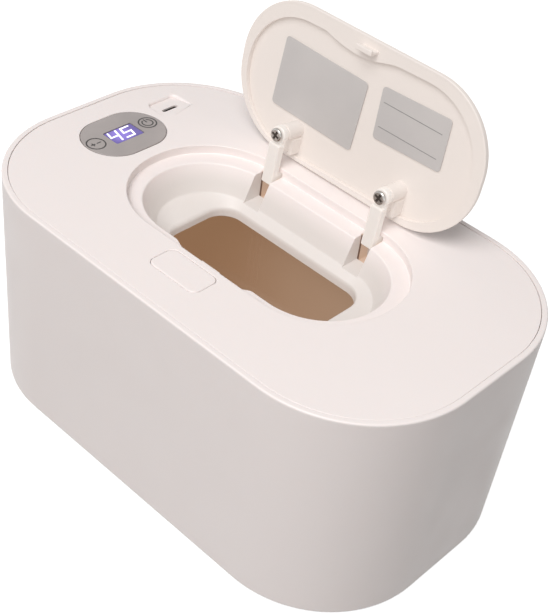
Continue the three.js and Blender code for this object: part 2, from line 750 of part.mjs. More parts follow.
// Top cover: plate, skirt, lid recess, ledge, basin, rolled opening lip, hinge pockets and latch window.
function topCover() {
  const plateOutline = bodyOutline(zCoverUnder, shellWall + coverGap);
  const plateTop = bodyOutline(zCoverUnder, shellWall + coverGap + coverEdgeRound);
  const plate = loft([
    { points: plateOutline, z: zCoverUnder },
    { points: plateOutline, z: zCover - coverEdgeRound },
    { points: plateTop, z: zCover },
  ]);
  const skirtInset = shellWall + skirtGap;
  const skirtOutside = prism(bodyOutline(zSkirt, skirtInset), zSkirt, zCoverUnder);
  const skirtInside = prism(bodyOutline(zSkirt, skirtInset + skirtWall), zSkirt - cutOverrun, zCoverUnder);
  const skirt = cut(skirtOutside, skirtInside);
  const recess = (grow) => roundedOutline(
    recessLength / 2 + grow, recessWidth / 2 + grow, recessCorner + grow,
  );
  const recessShell = prism(recess(basinWall), zLedgeUnder, zCoverUnder);
  const basinShell = loft(basinRings(basinWall, basinWall, zLedge, zLip));
  const notchShell = prism(notchOutline(notchWall), zLedge - notchDepth - notchWall, zLedge - clearance);
  const inletBossOutline = roundedOutline(
    inletPocketWidth / 2 + inletBoss, inletPocketLength / 2 + inletBoss, inletPocketRound + inletBoss,
    smallSteps, inletX + inletPocketWidth * (1 / 2 - inletPocketShares.end),
    inletY + inletPocketLength * (1 / 2 - inletPocketShares.side),
  );
  const inletBlock = prism(inletBossOutline, zCoverUnder - inletBoss, zCoverUnder);
  const body = join(
    plate, skirt, recessShell, basinShell, notchShell, inletBlock, slotShell(1), slotShell(-1),
    hingePocket(1, pocketWall), hingePocket(-1, pocketWall), ...coverPosts(),
  );
  const roundShare = 1 - Math.SQRT1_2;
  const recessCut = loft([
    { points: recess(0), z: zLedge },
    { points: recess(0), z: zCover - recessRound },
    { points: recess(recessRound * roundShare), z: zCover - recessRound * roundShare },
    { points: recess(recessRound), z: zCover },
    { points: recess(recessRound), z: zCover + cutOverrun },
  ]);
  const basinCut = loft(basinRings(0, 0, zCover, zLip - cutOverrun));
  const notchCut = prism(notchOutline(0), zLedge - notchDepth, zLedge + cutOverrun);
  const halfWindow = tongueWidth / 2 + clearance;
  const windowLow = zTongue - clearance;
  const windowHigh = zSliderTop + clearance;
  const latchWindow = block(
    -halfWindow, halfWindow, sliderFront - cutOverrun, notchFront + cutOverrun, windowLow, windowHigh,
  );
  const pinReach = slotWidth / 2 + springRoom + pocketWall + cutOverrun;
  const pinHole = (side) => {
    const x = slotX(side);
    const low = Math.min(x - (side * (slotWidth / 2 + pocketWall + cutOverrun)), x + side * pinReach);
    const high = Math.max(x - (side * (slotWidth / 2 + pocketWall + cutOverrun)), x + side * pinReach);
    return rodAlongX(pinRadius + clearance, low, high, pivotY, pivotZ, smallSegments);
  };
  const halfButtonX = buttonLength / 2 + clearance;
  const halfButtonY = buttonWidth / 2 + clearance;
  const buttonHole = prism(
    roundedOutline(halfButtonX, halfButtonY, buttonCorner + clearance, smallSteps, 0, buttonY),
    zCoverUnder - cutOverrun, zCover + cutOverrun,
  );
  const panelCut = prism(
    panelOutline(clearance), zCover + panelProud - panelThickness - clearance, zCover + cutOverrun,
  );
  const displayX = windowWidth / 2 + displayMargin + clearance;
  const displayY = windowLength / 2 + displayMargin + clearance;
  const displayCut = block(
    panelX - displayX, panelX + displayX, panelY - displayY, panelY + displayY,
    zCoverUnder - cutOverrun, zCover,
  );
  const inletCut = prism(
    roundedOutline(inletWidth / 2, inletLength / 2, inletWidth / 2, smallSteps, inletX, inletY),
    zCoverUnder - inletBoss - cutOverrun, zCover + cutOverrun,
  );
  return named("top_cover", cut(
    body, recessCut, basinCut, notchCut, latchWindow, hingePocket(1, 0), hingePocket(-1, 0),
    hingeSlot(1), hingeSlot(-1), pinHole(1), pinHole(-1), buttonHole, panelCut, displayCut,
    inletRamp(), inletCut, ...coverPostHoles(),
  ), shellPlastic);
}

function coverSeal() {
  const inset = shellWall + skirtGap;
  const outside = prism(bodyOutline(zSeal, inset + clearance), zSeal, zSeal + sealHeight);
  const low = zSeal - cutOverrun;
  const inside = prism(bodyOutline(zSeal, inset + skirtWall), low, zSeal + sealHeight + cutOverrun);
  return named("cover_seal", cut(outside, inside), silicone);
}

// Under cover: a tray that closes the electronics off from the wipes.
const openingClear = basinWall + lipRound + clearance;

function holeRound(grow, low, high) {
  const outline = roundedOutline(
    openingLength / 2 + grow, openingWidth / 2 + grow, openingCorner + grow, smallSteps,
  );
  return prism(outline, low, high);
}

const leadX = boardX + boardWidth / 2 + leadRadius;
const leadLandX = -openingLength / 2 - openingClear - heaterReach / 2;
const leadRows = [-leadSpacing / 2, leadSpacing / 2];
const sensorX = openingLength / 2 + openingClear + heaterReach / 2;
const fuseY = -(openingWidth / 2 + openingClear + heaterReach / 2);

function underCover() {
  const inset = trayInset;
  const high = zCoverUnder - inletBoss - clearance;
  const outside = prism(bodyOutline(zTray, inset), zTray, high);
  const inside = prism(bodyOutline(zTray, inset + trayWall), zTrayTop, high + cutOverrun);
  const low = zTray - cutOverrun;
  const top = zTrayTop + cutOverrun;
  const screwHoles = trayScrewPlaces.map(
    ([x, y]) => rod(shankRadius + clearance, low, top, x, y, smallSegments),
  );
  const leadHoles = leadRows.map((y) => rod(leadRadius + clearance, low, top, leadLandX, y, smallSegments));
  const sensorHole = block(
    sensorX - sensorLength / 2 - clearance, sensorX + sensorLength / 2 + clearance,
    -sensorWidth / 2 - clearance, sensorWidth / 2 + clearance, low, top,
  );
  const fuseHole = block(
    -fuseLength / 2 - clearance, fuseLength / 2 + clearance,
    fuseY - fuseRadius - clearance, fuseY + fuseRadius + clearance, low, top,
  );
  return named("under_cover", cut(
    outside, inside, holeRound(openingClear, low, top), ...screwHoles, ...leadHoles, sensorHole, fuseHole,
  ), shellPlastic);
}

function heaterPlate(name, low, thickness, draw, material) {
  const grow = openingClear + heaterReach - draw;
  const outside = holeRound(grow, low, low + thickness);
  const hole = holeRound(basinWall + clearance + draw, low - cutOverrun, low + thickness + cutOverrun);
  return named(name, cut(outside, hole), material);
}

function trayScrews() {
  return trayScrewPlaces.map(([x, y], index) => {
    const zHead = zTray - clearance - headHeight;
    return screwUp(`under_cover_screw_${index + 1}`, x, y, zHead, trayFloor + screwBite);
  });
}

function panelOutline(grow) {
  const r = panelWidth / 2 + grow;
  return roundedOutline(r, panelLength / 2 + grow, r, cornerSteps, panelX, panelY);
}

// Control panel, display, board, touch contacts and power inlet.
function controls() {
  const panelTop = zCover + panelProud;
  const panelLow = panelTop - panelThickness;
  const windowX = windowWidth / 2;
  const windowY = windowLength / 2;
  const windowCut = block(
    panelX - windowX, panelX + windowX, panelY - windowY, panelY + windowY,
    panelLow - cutOverrun, panelTop + cutOverrun,
  );
  const panel = cut(prism(panelOutline(0), panelLow, panelTop), windowCut);
  const bodyX = windowX + displayMargin;
  const bodyY = windowY + displayMargin;
  const displayTop = panelLow - clearance;
  const display = block(
    panelX - bodyX, panelX + bodyX, panelY - bodyY, panelY + bodyY, zBoard + clearance, displayTop,
  );
  const lens = block(
    panelX - windowX + clearance, panelX + windowX - clearance, panelY - windowY + clearance,
    panelY + windowY - clearance, displayTop + clearance / 3, panelTop - displayStep,
  );
  const board = prism(
    roundedOutline(boardWidth / 2, boardLength / 2, boardRound, smallSteps, boardX, boardY),
    zBoard - boardThickness, zBoard,
  );
  const boardHoles = boardScrewPlaces.map(([x, y]) => {
    const low = zBoard - boardThickness - cutOverrun;
    return rod(shankRadius + clearance, low, zBoard + cutOverrun, x, y, smallSegments);
  });
  const boardScrews = boardScrewPlaces.map(([x, y], index) => {
    const zHead = zBoard - boardThickness - clearance - headHeight;
    return screwUp(`board_screw_${index + 1}`, x, y, zHead, boardThickness + screwBite);
  });
  const keyRise = zCoverUnder - zBoard - clearance * 2 - keyWire;
  const keys = ["left", "right"].map((side, index) => {
    const y = panelY + (index === 0 ? -keySpacing / 2 : keySpacing / 2);
    const spring = coil(keyRadius - keyWire / 2, keyWire, keyTurns, keyRise);
    const low = zBoard + clearance + keyWire / 2;
    return named(`touch_contact_${side}`, spring.translate(panelX, y, low), steel);
  });
  const inletTop = zCover - inletPocketDepth + clearance * 2;
  const inletLow = zBoard + clearance;
  const socket = (inset, low, high) => {
    const halfX = inletWidth / 2 - inset;
    return prism(
      roundedOutline(halfX, inletLength / 2 - inset, halfX, smallSteps, inletX, inletY), low, high,
    );
  };
  const shell = socket(clearance, inletLow, inletTop);
  const shellInside = socket(clearance + inletShell, inletTop - inletHeight, inletTop + cutOverrun);
  const tongueY = inletLength / 2 - clearance - inletShell * 3;
  const tongue = block(
    inletX - inletTongue / 2, inletX + inletTongue / 2, inletY - tongueY, inletY + tongueY,
    inletLow, inletTop - inletShell * 2,
  );
  return [
    named("control_panel", panel, panelGrey),
    named("display_module", display, displayBlack),
    named("display_window", lens, displayViolet),
    named("control_board", cut(board, ...boardHoles), boardGreen),
    named("power_inlet", join(cut(shell, shellInside), tongue), steel),
    ...boardScrews,
    ...keys,
  ];
}

// Leads from the board down to the heater film, and the parts that watch its temperature.
function heaterParts() {
  const filmTop = zFilm + filmThickness + clearance;
  const leads = leadRows.map((y, index) => {
    const curve = new THREE.CatmullRomCurve3([
      new THREE.Vector3(leadX, y, zBoard - boardThickness / 2),
      new THREE.Vector3(leadX + leadRadius * 2, y, zBoard - boardThickness),
      new THREE.Vector3((leadX + leadLandX) / 2, y, (zBoard - boardThickness + zTrayTop) / 2),
      new THREE.Vector3(leadLandX, y, zTrayTop + leadRadius * 2),
      new THREE.Vector3(leadLandX, y, filmTop),
    ]);
    const material = index === 0 ? redWire : blackWire;
    const name = index === 0 ? "heater_lead_red" : "heater_lead_black";
    return named(name, wire(curve, leadRadius, leadSteps, leadSides), material);
  });
  const sensor = block(
    sensorX - sensorLength / 2, sensorX + sensorLength / 2, -sensorWidth / 2, sensorWidth / 2,
    filmTop, filmTop + sensorWidth / 2,
  );
  const fuse = rodAlongX(
    fuseRadius, -fuseLength / 2, fuseLength / 2, fuseY, filmTop + fuseRadius, smallSegments,
  );
  return [
    ...leads,
    named("temperature_sensor", sensor, sensorEpoxy),
    named("thermal_fuse", fuse, steel),
  ];
}

// Pins and torsion springs in the hinge pockets.
function hingeHardware() {
  return [-1, 1].flatMap((side) => {
    const label = side < 0 ? "left" : "right";
    const x = slotX(side);
    const near = x - side * (slotWidth / 2 + pocketWall - clearance);
    const far = x + side * (slotWidth / 2 + springRoom + pocketWall - clearance);
    const pin = rodAlongX(pinRadius, Math.min(near, far), Math.max(near, far), pivotY, pivotZ, smallSegments);
    const coilLength = springRoom - springWire - clearance;
    const radius = pinRadius + clearance + springWire / 2 + clearance;
    const spring = coil(radius, springWire, torsionTurns, coilLength);
    const start = side < 0 ? far + pocketWall : x + slotWidth / 2 + clearance;
    spring.rotateY(Math.PI / 2).translate(start + springWire / 2, pivotY, pivotZ);
    return [
      named(`hinge_pin_${label}`, pin, steel),
      named(`torsion_spring_${label}`, spring, steel),
    ];
  });
}

// Latch guide: a channel screwed under the cover that carries the slider and stops it.
function latchGuide() {
  const wallX = buttonLength / 2 + buttonFlange + clearance * 2;
  const front = sliderFront - clearance;
  const back = sliderBack - buttonTravel - clearance - guideWall;
  const outerX = wallX + guideWall;
  const floor = block(-outerX, outerX, back, front, zGuide, zGuide + guideFloor);
  const stop = block(-outerX, outerX, back, back + guideWall, zGuide, zSliderTop);
  const high = zCoverUnder - clearance;
  const wallLow = buttonY - buttonWidth / 2;
  const wallHigh = front;
  const left = block(-outerX, -wallX, wallLow, wallHigh, zGuide, high);
  const right = block(wallX, outerX, wallLow, wallHigh, zGuide, high);
  const ears = guideScrewPlaces.map(([x, y]) => rod(postRadius, zGuide, zGuide + guideFloor, x, y));
  const webs = guideScrewPlaces.map(([x, y]) => {
    const lowX = Math.min(x, Math.sign(x) * wallX);
    const highX = Math.max(x, Math.sign(x) * wallX);
    return block(lowX, highX, y - postRadius, y + postRadius, zGuide, zGuide + guideFloor);
  });
  const holes = guideScrewPlaces.map(([x, y]) => {
    const low = zGuide - cutOverrun;
    return rod(shankRadius + clearance, low, zGuide + guideFloor + cutOverrun, x, y, smallSegments);
  });
  return named("latch_guide", cut(join(floor, stop, left, right, ...ears, ...webs), ...holes), milkyNylon);
}

function guideScrews() {
  return guideScrewPlaces.map(([x, y], index) => {
    const zHead = zGuide - clearance - headHeight;
    const label = index === 0 ? "right" : "left";
    return screwUp(`guide_screw_${label}`, x, y, zHead, guideFloor + screwBite);
  });
}

// The slope shared by the button's wedge and the slider's ramp, at 45 degrees.
function rampY(z) {
  return sliderFront - sliderLength / 2 - (z - zSlider);
}

function latchSlider() {
  const halfX = sliderWidth / 2;
  const halfTongue = tongueWidth / 2;
  const carriage = block(-halfX, halfX, sliderBack, sliderFront, zSlider, zSliderTop);
  const tongue = block(-halfTongue, halfTongue, sliderFront - clearance, tongueTip, zTongue, zSliderTop);
  const rampCut = profileAlongX([
    new THREE.Vector2(rampY(zSlider - cutOverrun), zSlider - cutOverrun),
    new THREE.Vector2(sliderFront - sliderNose, zSlider - cutOverrun),
    new THREE.Vector2(sliderFront - sliderNose, zSliderTop + cutOverrun),
    new THREE.Vector2(rampY(zSliderTop + cutOverrun), zSliderTop + cutOverrun),
  ], -wedgeWidth / 2 - clearance, wedgeWidth / 2 + clearance);
  const springHalf = coilRadius + clearance;
  const springSeat = block(
    -springHalf, springHalf, sliderBack - cutOverrun, sliderBack + springSeatDepth,
    zSlider + clearance, zSliderTop + cutOverrun,
  );
  return named("latch_slider", cut(join(carriage, tongue), rampCut, springSeat), milkyNylon);
}

function latchSpring() {
  const rise = buttonTravel + springSeatDepth - coilWire - clearance;
  const spring = coil(coilRadius - coilWire / 2, coilWire, latchTurns, rise);
  const z = zSlider + clearance * 2 + coilRadius;
  const start = sliderBack - buttonTravel + coilWire / 2;
  return named("latch_spring", spring.rotateX(-Math.PI / 2).translate(0, start, z), steel);
}

const buttonTop = zCover + panelProud;
const buttonLow = zCoverUnder - clearance - flangeHeight;
const buttonSpringX = (sliderWidth / 2 + buttonLength / 2 - buttonWall) / 2;

function releaseButton() {
  const outline = (grow, round) => roundedOutline(
    buttonLength / 2 + grow, buttonWidth / 2 + grow, buttonCorner + round, smallSteps, 0, buttonY,
  );
  const edge = coverEdgeRound;
  const cap = loft([
    { points: outline(0, 0), z: buttonLow },
    { points: outline(0, 0), z: buttonTop - edge },
    { points: outline(-edge, -edge), z: buttonTop },
  ]);
  const flange = prism(outline(buttonFlange, buttonFlange), buttonLow, buttonLow + flangeHeight);
  const hollow = prism(outline(-buttonWall, -buttonWall), buttonLow - cutOverrun, buttonTop - buttonCap);
  const zWedge = zSlider + buttonTravel + clearance;
  const gap = clearance * Math.SQRT2;
  const wedgeTop = buttonTop - buttonCap / 2;
  const front = sliderFront - sliderNose - buttonTravel - clearance;
  const wedgeBack = Math.max(rampY(wedgeTop) + gap, buttonY - buttonWidth / 2 + buttonWall / 2);
  const zKnee = zSlider + (rampY(zSlider) + gap - wedgeBack);
  const wedge = profileAlongX([
    new THREE.Vector2(rampY(zWedge) + gap, zWedge),
    new THREE.Vector2(front, zWedge),
    new THREE.Vector2(front, wedgeTop),
    new THREE.Vector2(wedgeBack, wedgeTop),
    new THREE.Vector2(wedgeBack, zKnee),
  ], -wedgeWidth / 2, wedgeWidth / 2);
  const channelX = sliderWidth / 2 + clearance;
  const channelY = buttonWidth / 2 + buttonFlange + cutOverrun;
  const channel = block(
    -channelX, channelX, buttonY - channelY, buttonY + channelY,
    buttonLow - cutOverrun, zSliderTop + buttonTravel + clearance,
  );
  return named("release_button", join(cut(join(cap, flange), hollow, channel), wedge), shellPlastic);
}

function buttonSprings() {
  const low = zGuide + guideFloor + clearance + coilWire / 2;
  const rise = buttonTop - buttonCap - clearance - coilWire / 2 - low;
  return [-1, 1].map((side) => {
    const spring = coil(coilRadius - coilWire / 2, coilWire, buttonTurns, rise);
    const label = side < 0 ? "left" : "right";
    return named(`button_spring_${label}`, spring.translate(side * buttonSpringX, buttonY, low), steel);
  });
}

// The lid's outline, closed, and the inner line of its frame with the dip behind the catch.
function lidOutline(draw) {
  return roundedOutline(
    lidLength / 2 - draw, lidWidth / 2 - draw, lidCorner - draw, cornerSteps, 0, lidShift,
  );
}

function frameInnerLine() {
  const draw = lidLip + clearance;
  const dipSteps = 10;
  const halfX = lidLength / 2 - draw - frameEndWidth;
  const halfY = lidWidth / 2 - draw - (frameWidth + frameBackWidth) / 2;
  const middleY = lidShift + (frameWidth - frameBackWidth) / 2;
  const corner = lidCorner - draw - frameWidth;
  const line = roundedOutline(halfX, halfY, corner, cornerSteps, 0, middleY);
  const frontY = middleY - halfY;
  const dip = [];
  for (let i = 0; i <= dipSteps; i += 1) {
    const share = -1 + (2 * i) / dipSteps;
    const rise = (dipDepth * (1 + Math.cos(Math.PI * share))) / 2;
    dip.push(new THREE.Vector2(dipHalfLength * share, frontY + rise));
  }
  const lastQuarter = (cornerSteps + 1) * 3;
  return [...line.slice(0, lastQuarter), ...dip, ...line.slice(lastQuarter)];
}

// The two locating tabs beside the bosses, at (x, y) of their lower corner.
const tabPlaces = [-1, 1].map((side) => [
  hingeX(side) + armWidth * tabPlaceShare,
  armScrewY + armHeadRadius * tabSetShare,
]);

function lidTab([x, y], grow, low, high) {
  return block(x - grow, x + tabThickness + grow, y - grow, y + tabLength + grow, low, high);
}

function lidShell() {
  const half = Math.SQRT1_2;
  const outside = loft([
    { points: lidOutline(0), z: zLip0 },
    { points: lidOutline(0), z: zCover - lidRound },
    { points: lidOutline(lidRound * (1 - half)), z: zCover - lidRound * (1 - half) },
    { points: lidOutline(lidRound), z: zCover },
  ]);
  const zPlate = zCover - lidPlate;
  const inside = prism(lidOutline(lidLip), zLip0 - cutOverrun, zPlate);
  const bossLow = zArm + armThickness + clearance;
  const rootTop = zPlate + lidPlate / 2;
  const bosses = [-1, 1].map((side) => rod(armHeadRadius, bossLow, rootTop, hingeX(side), armScrewY));
  const tabs = tabPlaces.map((place) => lidTab(place, 0, zPlate - tabHeight, rootTop));
  const holes = [-1, 1].map((side) => {
    const low = bossLow - cutOverrun;
    return rod(shankRadius + clearance, low, zPlate - clearance, hingeX(side), armScrewY, smallSegments);
  });
  return cut(join(cut(outside, inside), ...bosses, ...tabs), ...holes);
}

// The flat frame inside the lid's lip; the catch hangs from its front.
function lidFrame() {
  const high = zCover - lidPlate - clearance;
  const low = high - frameThickness;
  const ring = cut(
    prism(lidOutline(lidLip + clearance), low, high),
    prism(frameInnerLine(), low - cutOverrun, high + cutOverrun),
    ...tabPlaces.map((place) => lidTab(place, clearance, low - cutOverrun, high + cutOverrun)),
  );
  const half = catchWidth / 2;
  const tab = block(-half, half, catchFront, catchFront + catchThickness, zTooth, low + clearance);
  const tooth = block(
    -half, half, catchFront - catchTooth, catchFront + clearance, zTooth, zTooth + catchToothHeight,
  );
  return join(ring, tab, tooth);
}

// A goose-neck arm: a flat bar from the lid's boss that turns up to the pivot eyelet.
function hingeArm(side) {
  const x = hingeX(side);
  const back = pivotY + eyeletRadius;
  const neck = back - armNeck;
  const zTop = zArm + armThickness;
  const zBar = zArm - armStep;
  const shoulder = armScrewY + armShoulder;
  const corner = [];
  for (let i = 0; i <= smallSteps; i += 1) {
    const angle = -Math.PI / 2 + ((i / smallSteps) * Math.PI) / 2;
    const y = back - elbowRound + elbowRound * Math.cos(angle);
    corner.push(new THREE.Vector2(y, zBar + elbowRound + elbowRound * Math.sin(angle)));
  }
  const profile = [
    new THREE.Vector2(armScrewY, zArm),
    new THREE.Vector2(shoulder, zArm),
    new THREE.Vector2(shoulder, zBar),
    ...corner,
    new THREE.Vector2(back, pivotZ),
    new THREE.Vector2(neck, pivotZ),
    new THREE.Vector2(neck, zTop),
    new THREE.Vector2(armScrewY, zTop),
  ];
  const bar = profileAlongX(profile, x - armWidth / 2, x + armWidth / 2);
  const eyelet = rodAlongX(eyeletRadius, x - armWidth / 2, x + armWidth / 2, pivotY, pivotZ);
  const head = rod(armHeadRadius, zArm, zTop, x, armScrewY);
  const bore = rodAlongX(pinRadius + clearance, x - armWidth, x + armWidth, pivotY, pivotZ, smallSegments);
  const screwHole = rod(
    shankRadius + clearance, zArm - cutOverrun, zTop + cutOverrun, x, armScrewY, smallSegments,
  );
  return cut(join(bar, eyelet, head), bore, screwHole);
}

function labelPlate({ x, y, across, deep, angle }) {
  const high = zCover - lidPlate - clearance;
  const outline = roundedOutline(across / 2, deep / 2, labelRound, smallSteps);
  const plate = prism(outline, high - labelThickness, high).rotate([0, 0, angle]);
  return plate.translate([x, y, 0]);
}

const leftLabel = {
  name: "label_plate_left",
  x: lidLength * leftLabelPlaceShare,
  y: lidShift,
  across: lidLength * leftLabelSpanShare,
  deep: (armScrewY - armHeadRadius - labelClearance - lidShift) * 2,
  angle: leftLabelAngle,
};
const rightLabel = {
  name: "label_plate_right",
  x: lidLength * rightLabelPlaceShare,
  y: lidShift - lidWidth * rightLabelSetShare,
  across: lidLength * rightLabelSpanShare,
  deep: lidWidth * rightLabelDepthShare,
  angle: rightLabelAngle,
};

// The lid and what swings with it, built closed and turned open about the pivot.
function lidAssembly() {
  const group = new THREE.Group();
  const pieces = [
    named("lid_shell", lidShell(), shellPlastic),
    named("lid_inner_frame", lidFrame(), shellPlastic),
    ...[leftLabel, rightLabel].map((label) => named(label.name, labelPlate(label), labelSilver)),
    named("hinge_arm_left", hingeArm(-1), milkyNylon),
    named("hinge_arm_right", hingeArm(1), milkyNylon),
  ];
  const reach = armThickness + screwBite;
  const zHead = zArm - clearance - headHeight;
  pieces.push(screwUp("arm_screw_left", hingeX(-1), armScrewY, zHead, reach, chrome));
  pieces.push(screwUp("arm_screw_right", hingeX(1), armScrewY, zHead, reach, chrome));
  pieces.forEach((piece) => {
    piece.geometry.translate(0, -pivotY, -pivotZ);
    group.add(piece);
  });
  group.position.set(0, pivotY, pivotZ);
  group.rotation.x = -THREE.MathUtils.degToRad(lidOpenAngle);
  return group;
}

const warmer = new THREE.Group();
warmer.add(
  outerHousing(),
  innerTank(),
  insulationSleeve(),
  basePlate(),
  ...feet(),
  ...baseScrews(),
  topCover(),
  coverSeal(),
  underCover(),
  heaterPlate("heat_spreader", zSpreader, spreaderThickness, 0, aluminium),
  heaterPlate("heater_film", zFilm, filmThickness, clearance * 2, heaterAmber),
  ...trayScrews(),
  ...controls(),
  ...heaterParts(),
  ...hingeHardware(),
  latchGuide(),
  ...guideScrews(),
  latchSlider(),
  latchSpring(),
  releaseButton(),
  ...buttonSprings(),
  lidAssembly(),
);

export default warmer;
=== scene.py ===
"""Baby wipe warmer: casing, cover, flip lid, latch button and controls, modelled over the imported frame."""

import math

import bmesh
import bpy
from mathutils import Matrix, Vector


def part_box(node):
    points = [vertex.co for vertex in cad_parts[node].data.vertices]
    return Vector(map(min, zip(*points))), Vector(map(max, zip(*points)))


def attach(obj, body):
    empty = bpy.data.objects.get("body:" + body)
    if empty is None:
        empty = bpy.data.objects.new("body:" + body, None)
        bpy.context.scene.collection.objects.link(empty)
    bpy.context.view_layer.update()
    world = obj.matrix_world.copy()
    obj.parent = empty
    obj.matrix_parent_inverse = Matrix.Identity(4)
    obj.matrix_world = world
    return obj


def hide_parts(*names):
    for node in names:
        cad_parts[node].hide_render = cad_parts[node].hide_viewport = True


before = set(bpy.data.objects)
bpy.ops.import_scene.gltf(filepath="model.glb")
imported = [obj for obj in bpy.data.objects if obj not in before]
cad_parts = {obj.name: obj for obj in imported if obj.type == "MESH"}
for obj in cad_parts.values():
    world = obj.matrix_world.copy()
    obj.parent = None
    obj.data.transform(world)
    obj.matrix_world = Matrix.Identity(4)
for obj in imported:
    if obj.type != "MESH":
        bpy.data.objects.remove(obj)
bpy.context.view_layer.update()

# Pieces are shaped in millimetres and brought to metres when they are finished.
MILLIMETRE = 0.001


def box_of(node):
    low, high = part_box(node)
    return low / MILLIMETRE, high / MILLIMETRE


# Sizes read from the frame.
CASE_LOW, CASE_HIGH = box_of("outer_housing")
COVER_LOW, COVER_HIGH = box_of("top_cover")
TANK_HIGH = box_of("inner_tank")[1]
BUTTON_LOW, BUTTON_HIGH = box_of("release_button")
PANEL_LOW, PANEL_HIGH = box_of("control_panel")
WINDOW_LOW, WINDOW_HIGH = box_of("display_window")
INLET_LOW, INLET_HIGH = box_of("power_inlet")
PIN_LOW, PIN_HIGH = box_of("hinge_pin_right")
ARM_LOW, ARM_HIGH = box_of("hinge_arm_right")
SLIDER_HIGH = box_of("latch_slider")[1]
PIVOT = Vector((0, (PIN_LOW.y + PIN_HIGH.y) / 2, (PIN_LOW.z + PIN_HIGH.z) / 2))
OPEN_ANGLE = math.radians(-96.5)
SIDES = {-1: "left", 1: "right"}

# Fineness of the modelling.
CORNER_STEPS = 24
ROUND_STEPS = 6
BUTTON_STEPS = 12
SOCKET_STEPS = 16
LABEL_STEPS = 8
FEW_STEPS = 4
FEWEST_STEPS = 3
CURVE_CUTS = 79
ROD_SEGMENTS = 48
BORE_SEGMENTS = 32
SLIM_SEGMENTS = 24
RING_SEGMENTS = 64
SIDE_CORNERS = 4
FULL_ROUND_SHARE = 0.9995
LEAST_STEP = 0.001
STACKING = 10
SMOOTH_ANGLE = math.radians(34)
SOFTEN_ANGLE = math.radians(50)

# Casing and cover plate.
CORNER_SHARE = 0.3755
CASE_CORNER = (CASE_HIGH.y - CASE_LOW.y) * CORNER_SHARE
CASE_DRAFT = 1.6
CASE_WALL = 2.3
RIM_ROUND = 0.9
RIM_INNER_ROUND = 0.2
FOOT_ROUND = 0.9
LOWER_RIM = (4.9, 6.4)
LOWER_RIM_REACH = 4
SHELF = (82.6, 85.1)
SHELF_REACH = 3.2
COVER_GAP = 0.16
COVER_PLATE = 2
COVER_ROUND = 0.35
SKIRT_GAP = 0.5
SKIRT_WALL = 1.8
SKIRT_DEPTH = 6
TOP = COVER_HIGH.z
UNDER = TOP - COVER_PLATE
OVERRUN = 1
GAP = 0.3
HAIR = GAP / 6

# Recess, ledge, basin and opening. An outline is (half length, half width, corner, place along Y).
RECESS_HALF_Y = 32.5
RECESS = (59.6, RECESS_HALF_Y, 31.5, 0.0)
RECESS_DEPTH = 3.8
LEDGE = TOP - RECESS_DEPTH
RECESS_ROUND = 0.5
LEDGE_FILLET = 0.4
MOUTH_HALF_Y = 26.4
MOUTH_SHIFT = -0.7
MOUTH = (53.6, MOUTH_HALF_Y, MOUTH_HALF_Y, MOUTH_SHIFT)
MOUTH_ROUND = 0.6
FOOT_HALF_Y = 21.1
FOOT = (48.1, FOOT_HALF_Y, FOOT_HALF_Y, 0.0)
FOOT_DEPTH = 14.4
FOOT_FILLET = 0.6
OPENING = (37, 17.3, 9, 0.0)
OPENING_DEPTH = 17.6
LIP_ROUND = 1.7
LIP_DEPTH = TOP - COVER_LOW.z - OVERRUN
SHELL = 1.8
LEDGE_SHELL = 1.6

# Catch notch in the front ledge.
NOTCH_ENDS = (-12, 16)
NOTCH_FLARES = (8, 4.5)
NOTCH_BACK_SHARE = 0.85
NOTCH_FRONT = -29.3
NOTCH_DEPTH = 10

# Hinge slots and pockets.
SLOT_SIDES = (-4.1, 3.6)
SLOT_FRONT = 20
SLOT_FLOOR = 82.2
POCKET_SPRING = 4.2
POCKET_WALL = 1.6
POCKET_ROUND = 0.4
WELL_FRONT = 29.2
WELL_FLOOR = 80.4
WELL_ROOM = 0.4
# Sizes of the sheet of painted shade at the back of each pocket and of the strip of painted shadow along its
# edge.
SHADE_SHEET_WALL = 0.3
SHADOW_LINE_WIDTH = 0.3
SHADE_SHEET_BACK = 35.6
SHADE_SHEET_ROUND = 0.08

# Lid, as it lies when it is closed.
LID_HALF_X = 58.4
LID_HALF_Y = 30.6
LID_CORNER = 28.5
LID_PLACE_X = -0.4
LID_SHIFT = -0.4
LID_DEPTH = 3.5
LID_PLATE = 1.5
LID_LIP = 1.3
LIP_CREST = LID_LIP * 0.7
LIP_EASE = LID_LIP * 0.3
LID_ROUND = 2.6
FRAME_OUTER = 1.1
FRAME_INNER = 5.3
FRAME_BACK = 2.1
FRAME_END = 4
FRAME_SHIFT = -0.7
FRAME_TURN = math.radians(-1.4)
FRAME_LOW = 93.73
FRAME_HIGH = 95.4
FRAME_ROUND = 0.6
DIP_HALF = 18
DIP_PLACE = -3
DIP_DEPTH = 3.1
SCREW_Y = 17.9
ARM_X = (ARM_LOW.x + ARM_HIGH.x) / 2
ARM_FLOOR = 84.2
ARM_THICKNESS = 2.8
BAR_HALF = 2.7
BAR_SHOULDER = 21.7
BAR_LOW = 82.85
BAR_HIGH = 86.4
ARM_HEAD = 3.3
ARM_NECK = 4.7
EYELET = 2.6
ARM_ROUND = 0.6
BOSS_ROUND = 0.3
PIN_RADIUS = 1


# Modelling by hand: picking, edit mode, joining and cutting.
def pick(*pieces):
    bpy.ops.object.select_all(action="DESELECT")
    for piece in pieces:
        piece.select_set(True)
    bpy.context.view_layer.objects.active = pieces[0]


def open_mesh(piece):
    pick(piece)
    bpy.ops.object.mode_set(mode="EDIT")
    bpy.ops.mesh.select_all(action="SELECT")


def close_mesh():
    bpy.ops.object.mode_set(mode="OBJECT")


def settle(piece, place=None):
    """Brings a piece's place, turn and scale into its mesh, after a new place if one is given."""
    if place is not None:
        piece.matrix_world = place
    pick(piece)
    bpy.ops.object.transform_apply(location=True, rotation=True, scale=True)


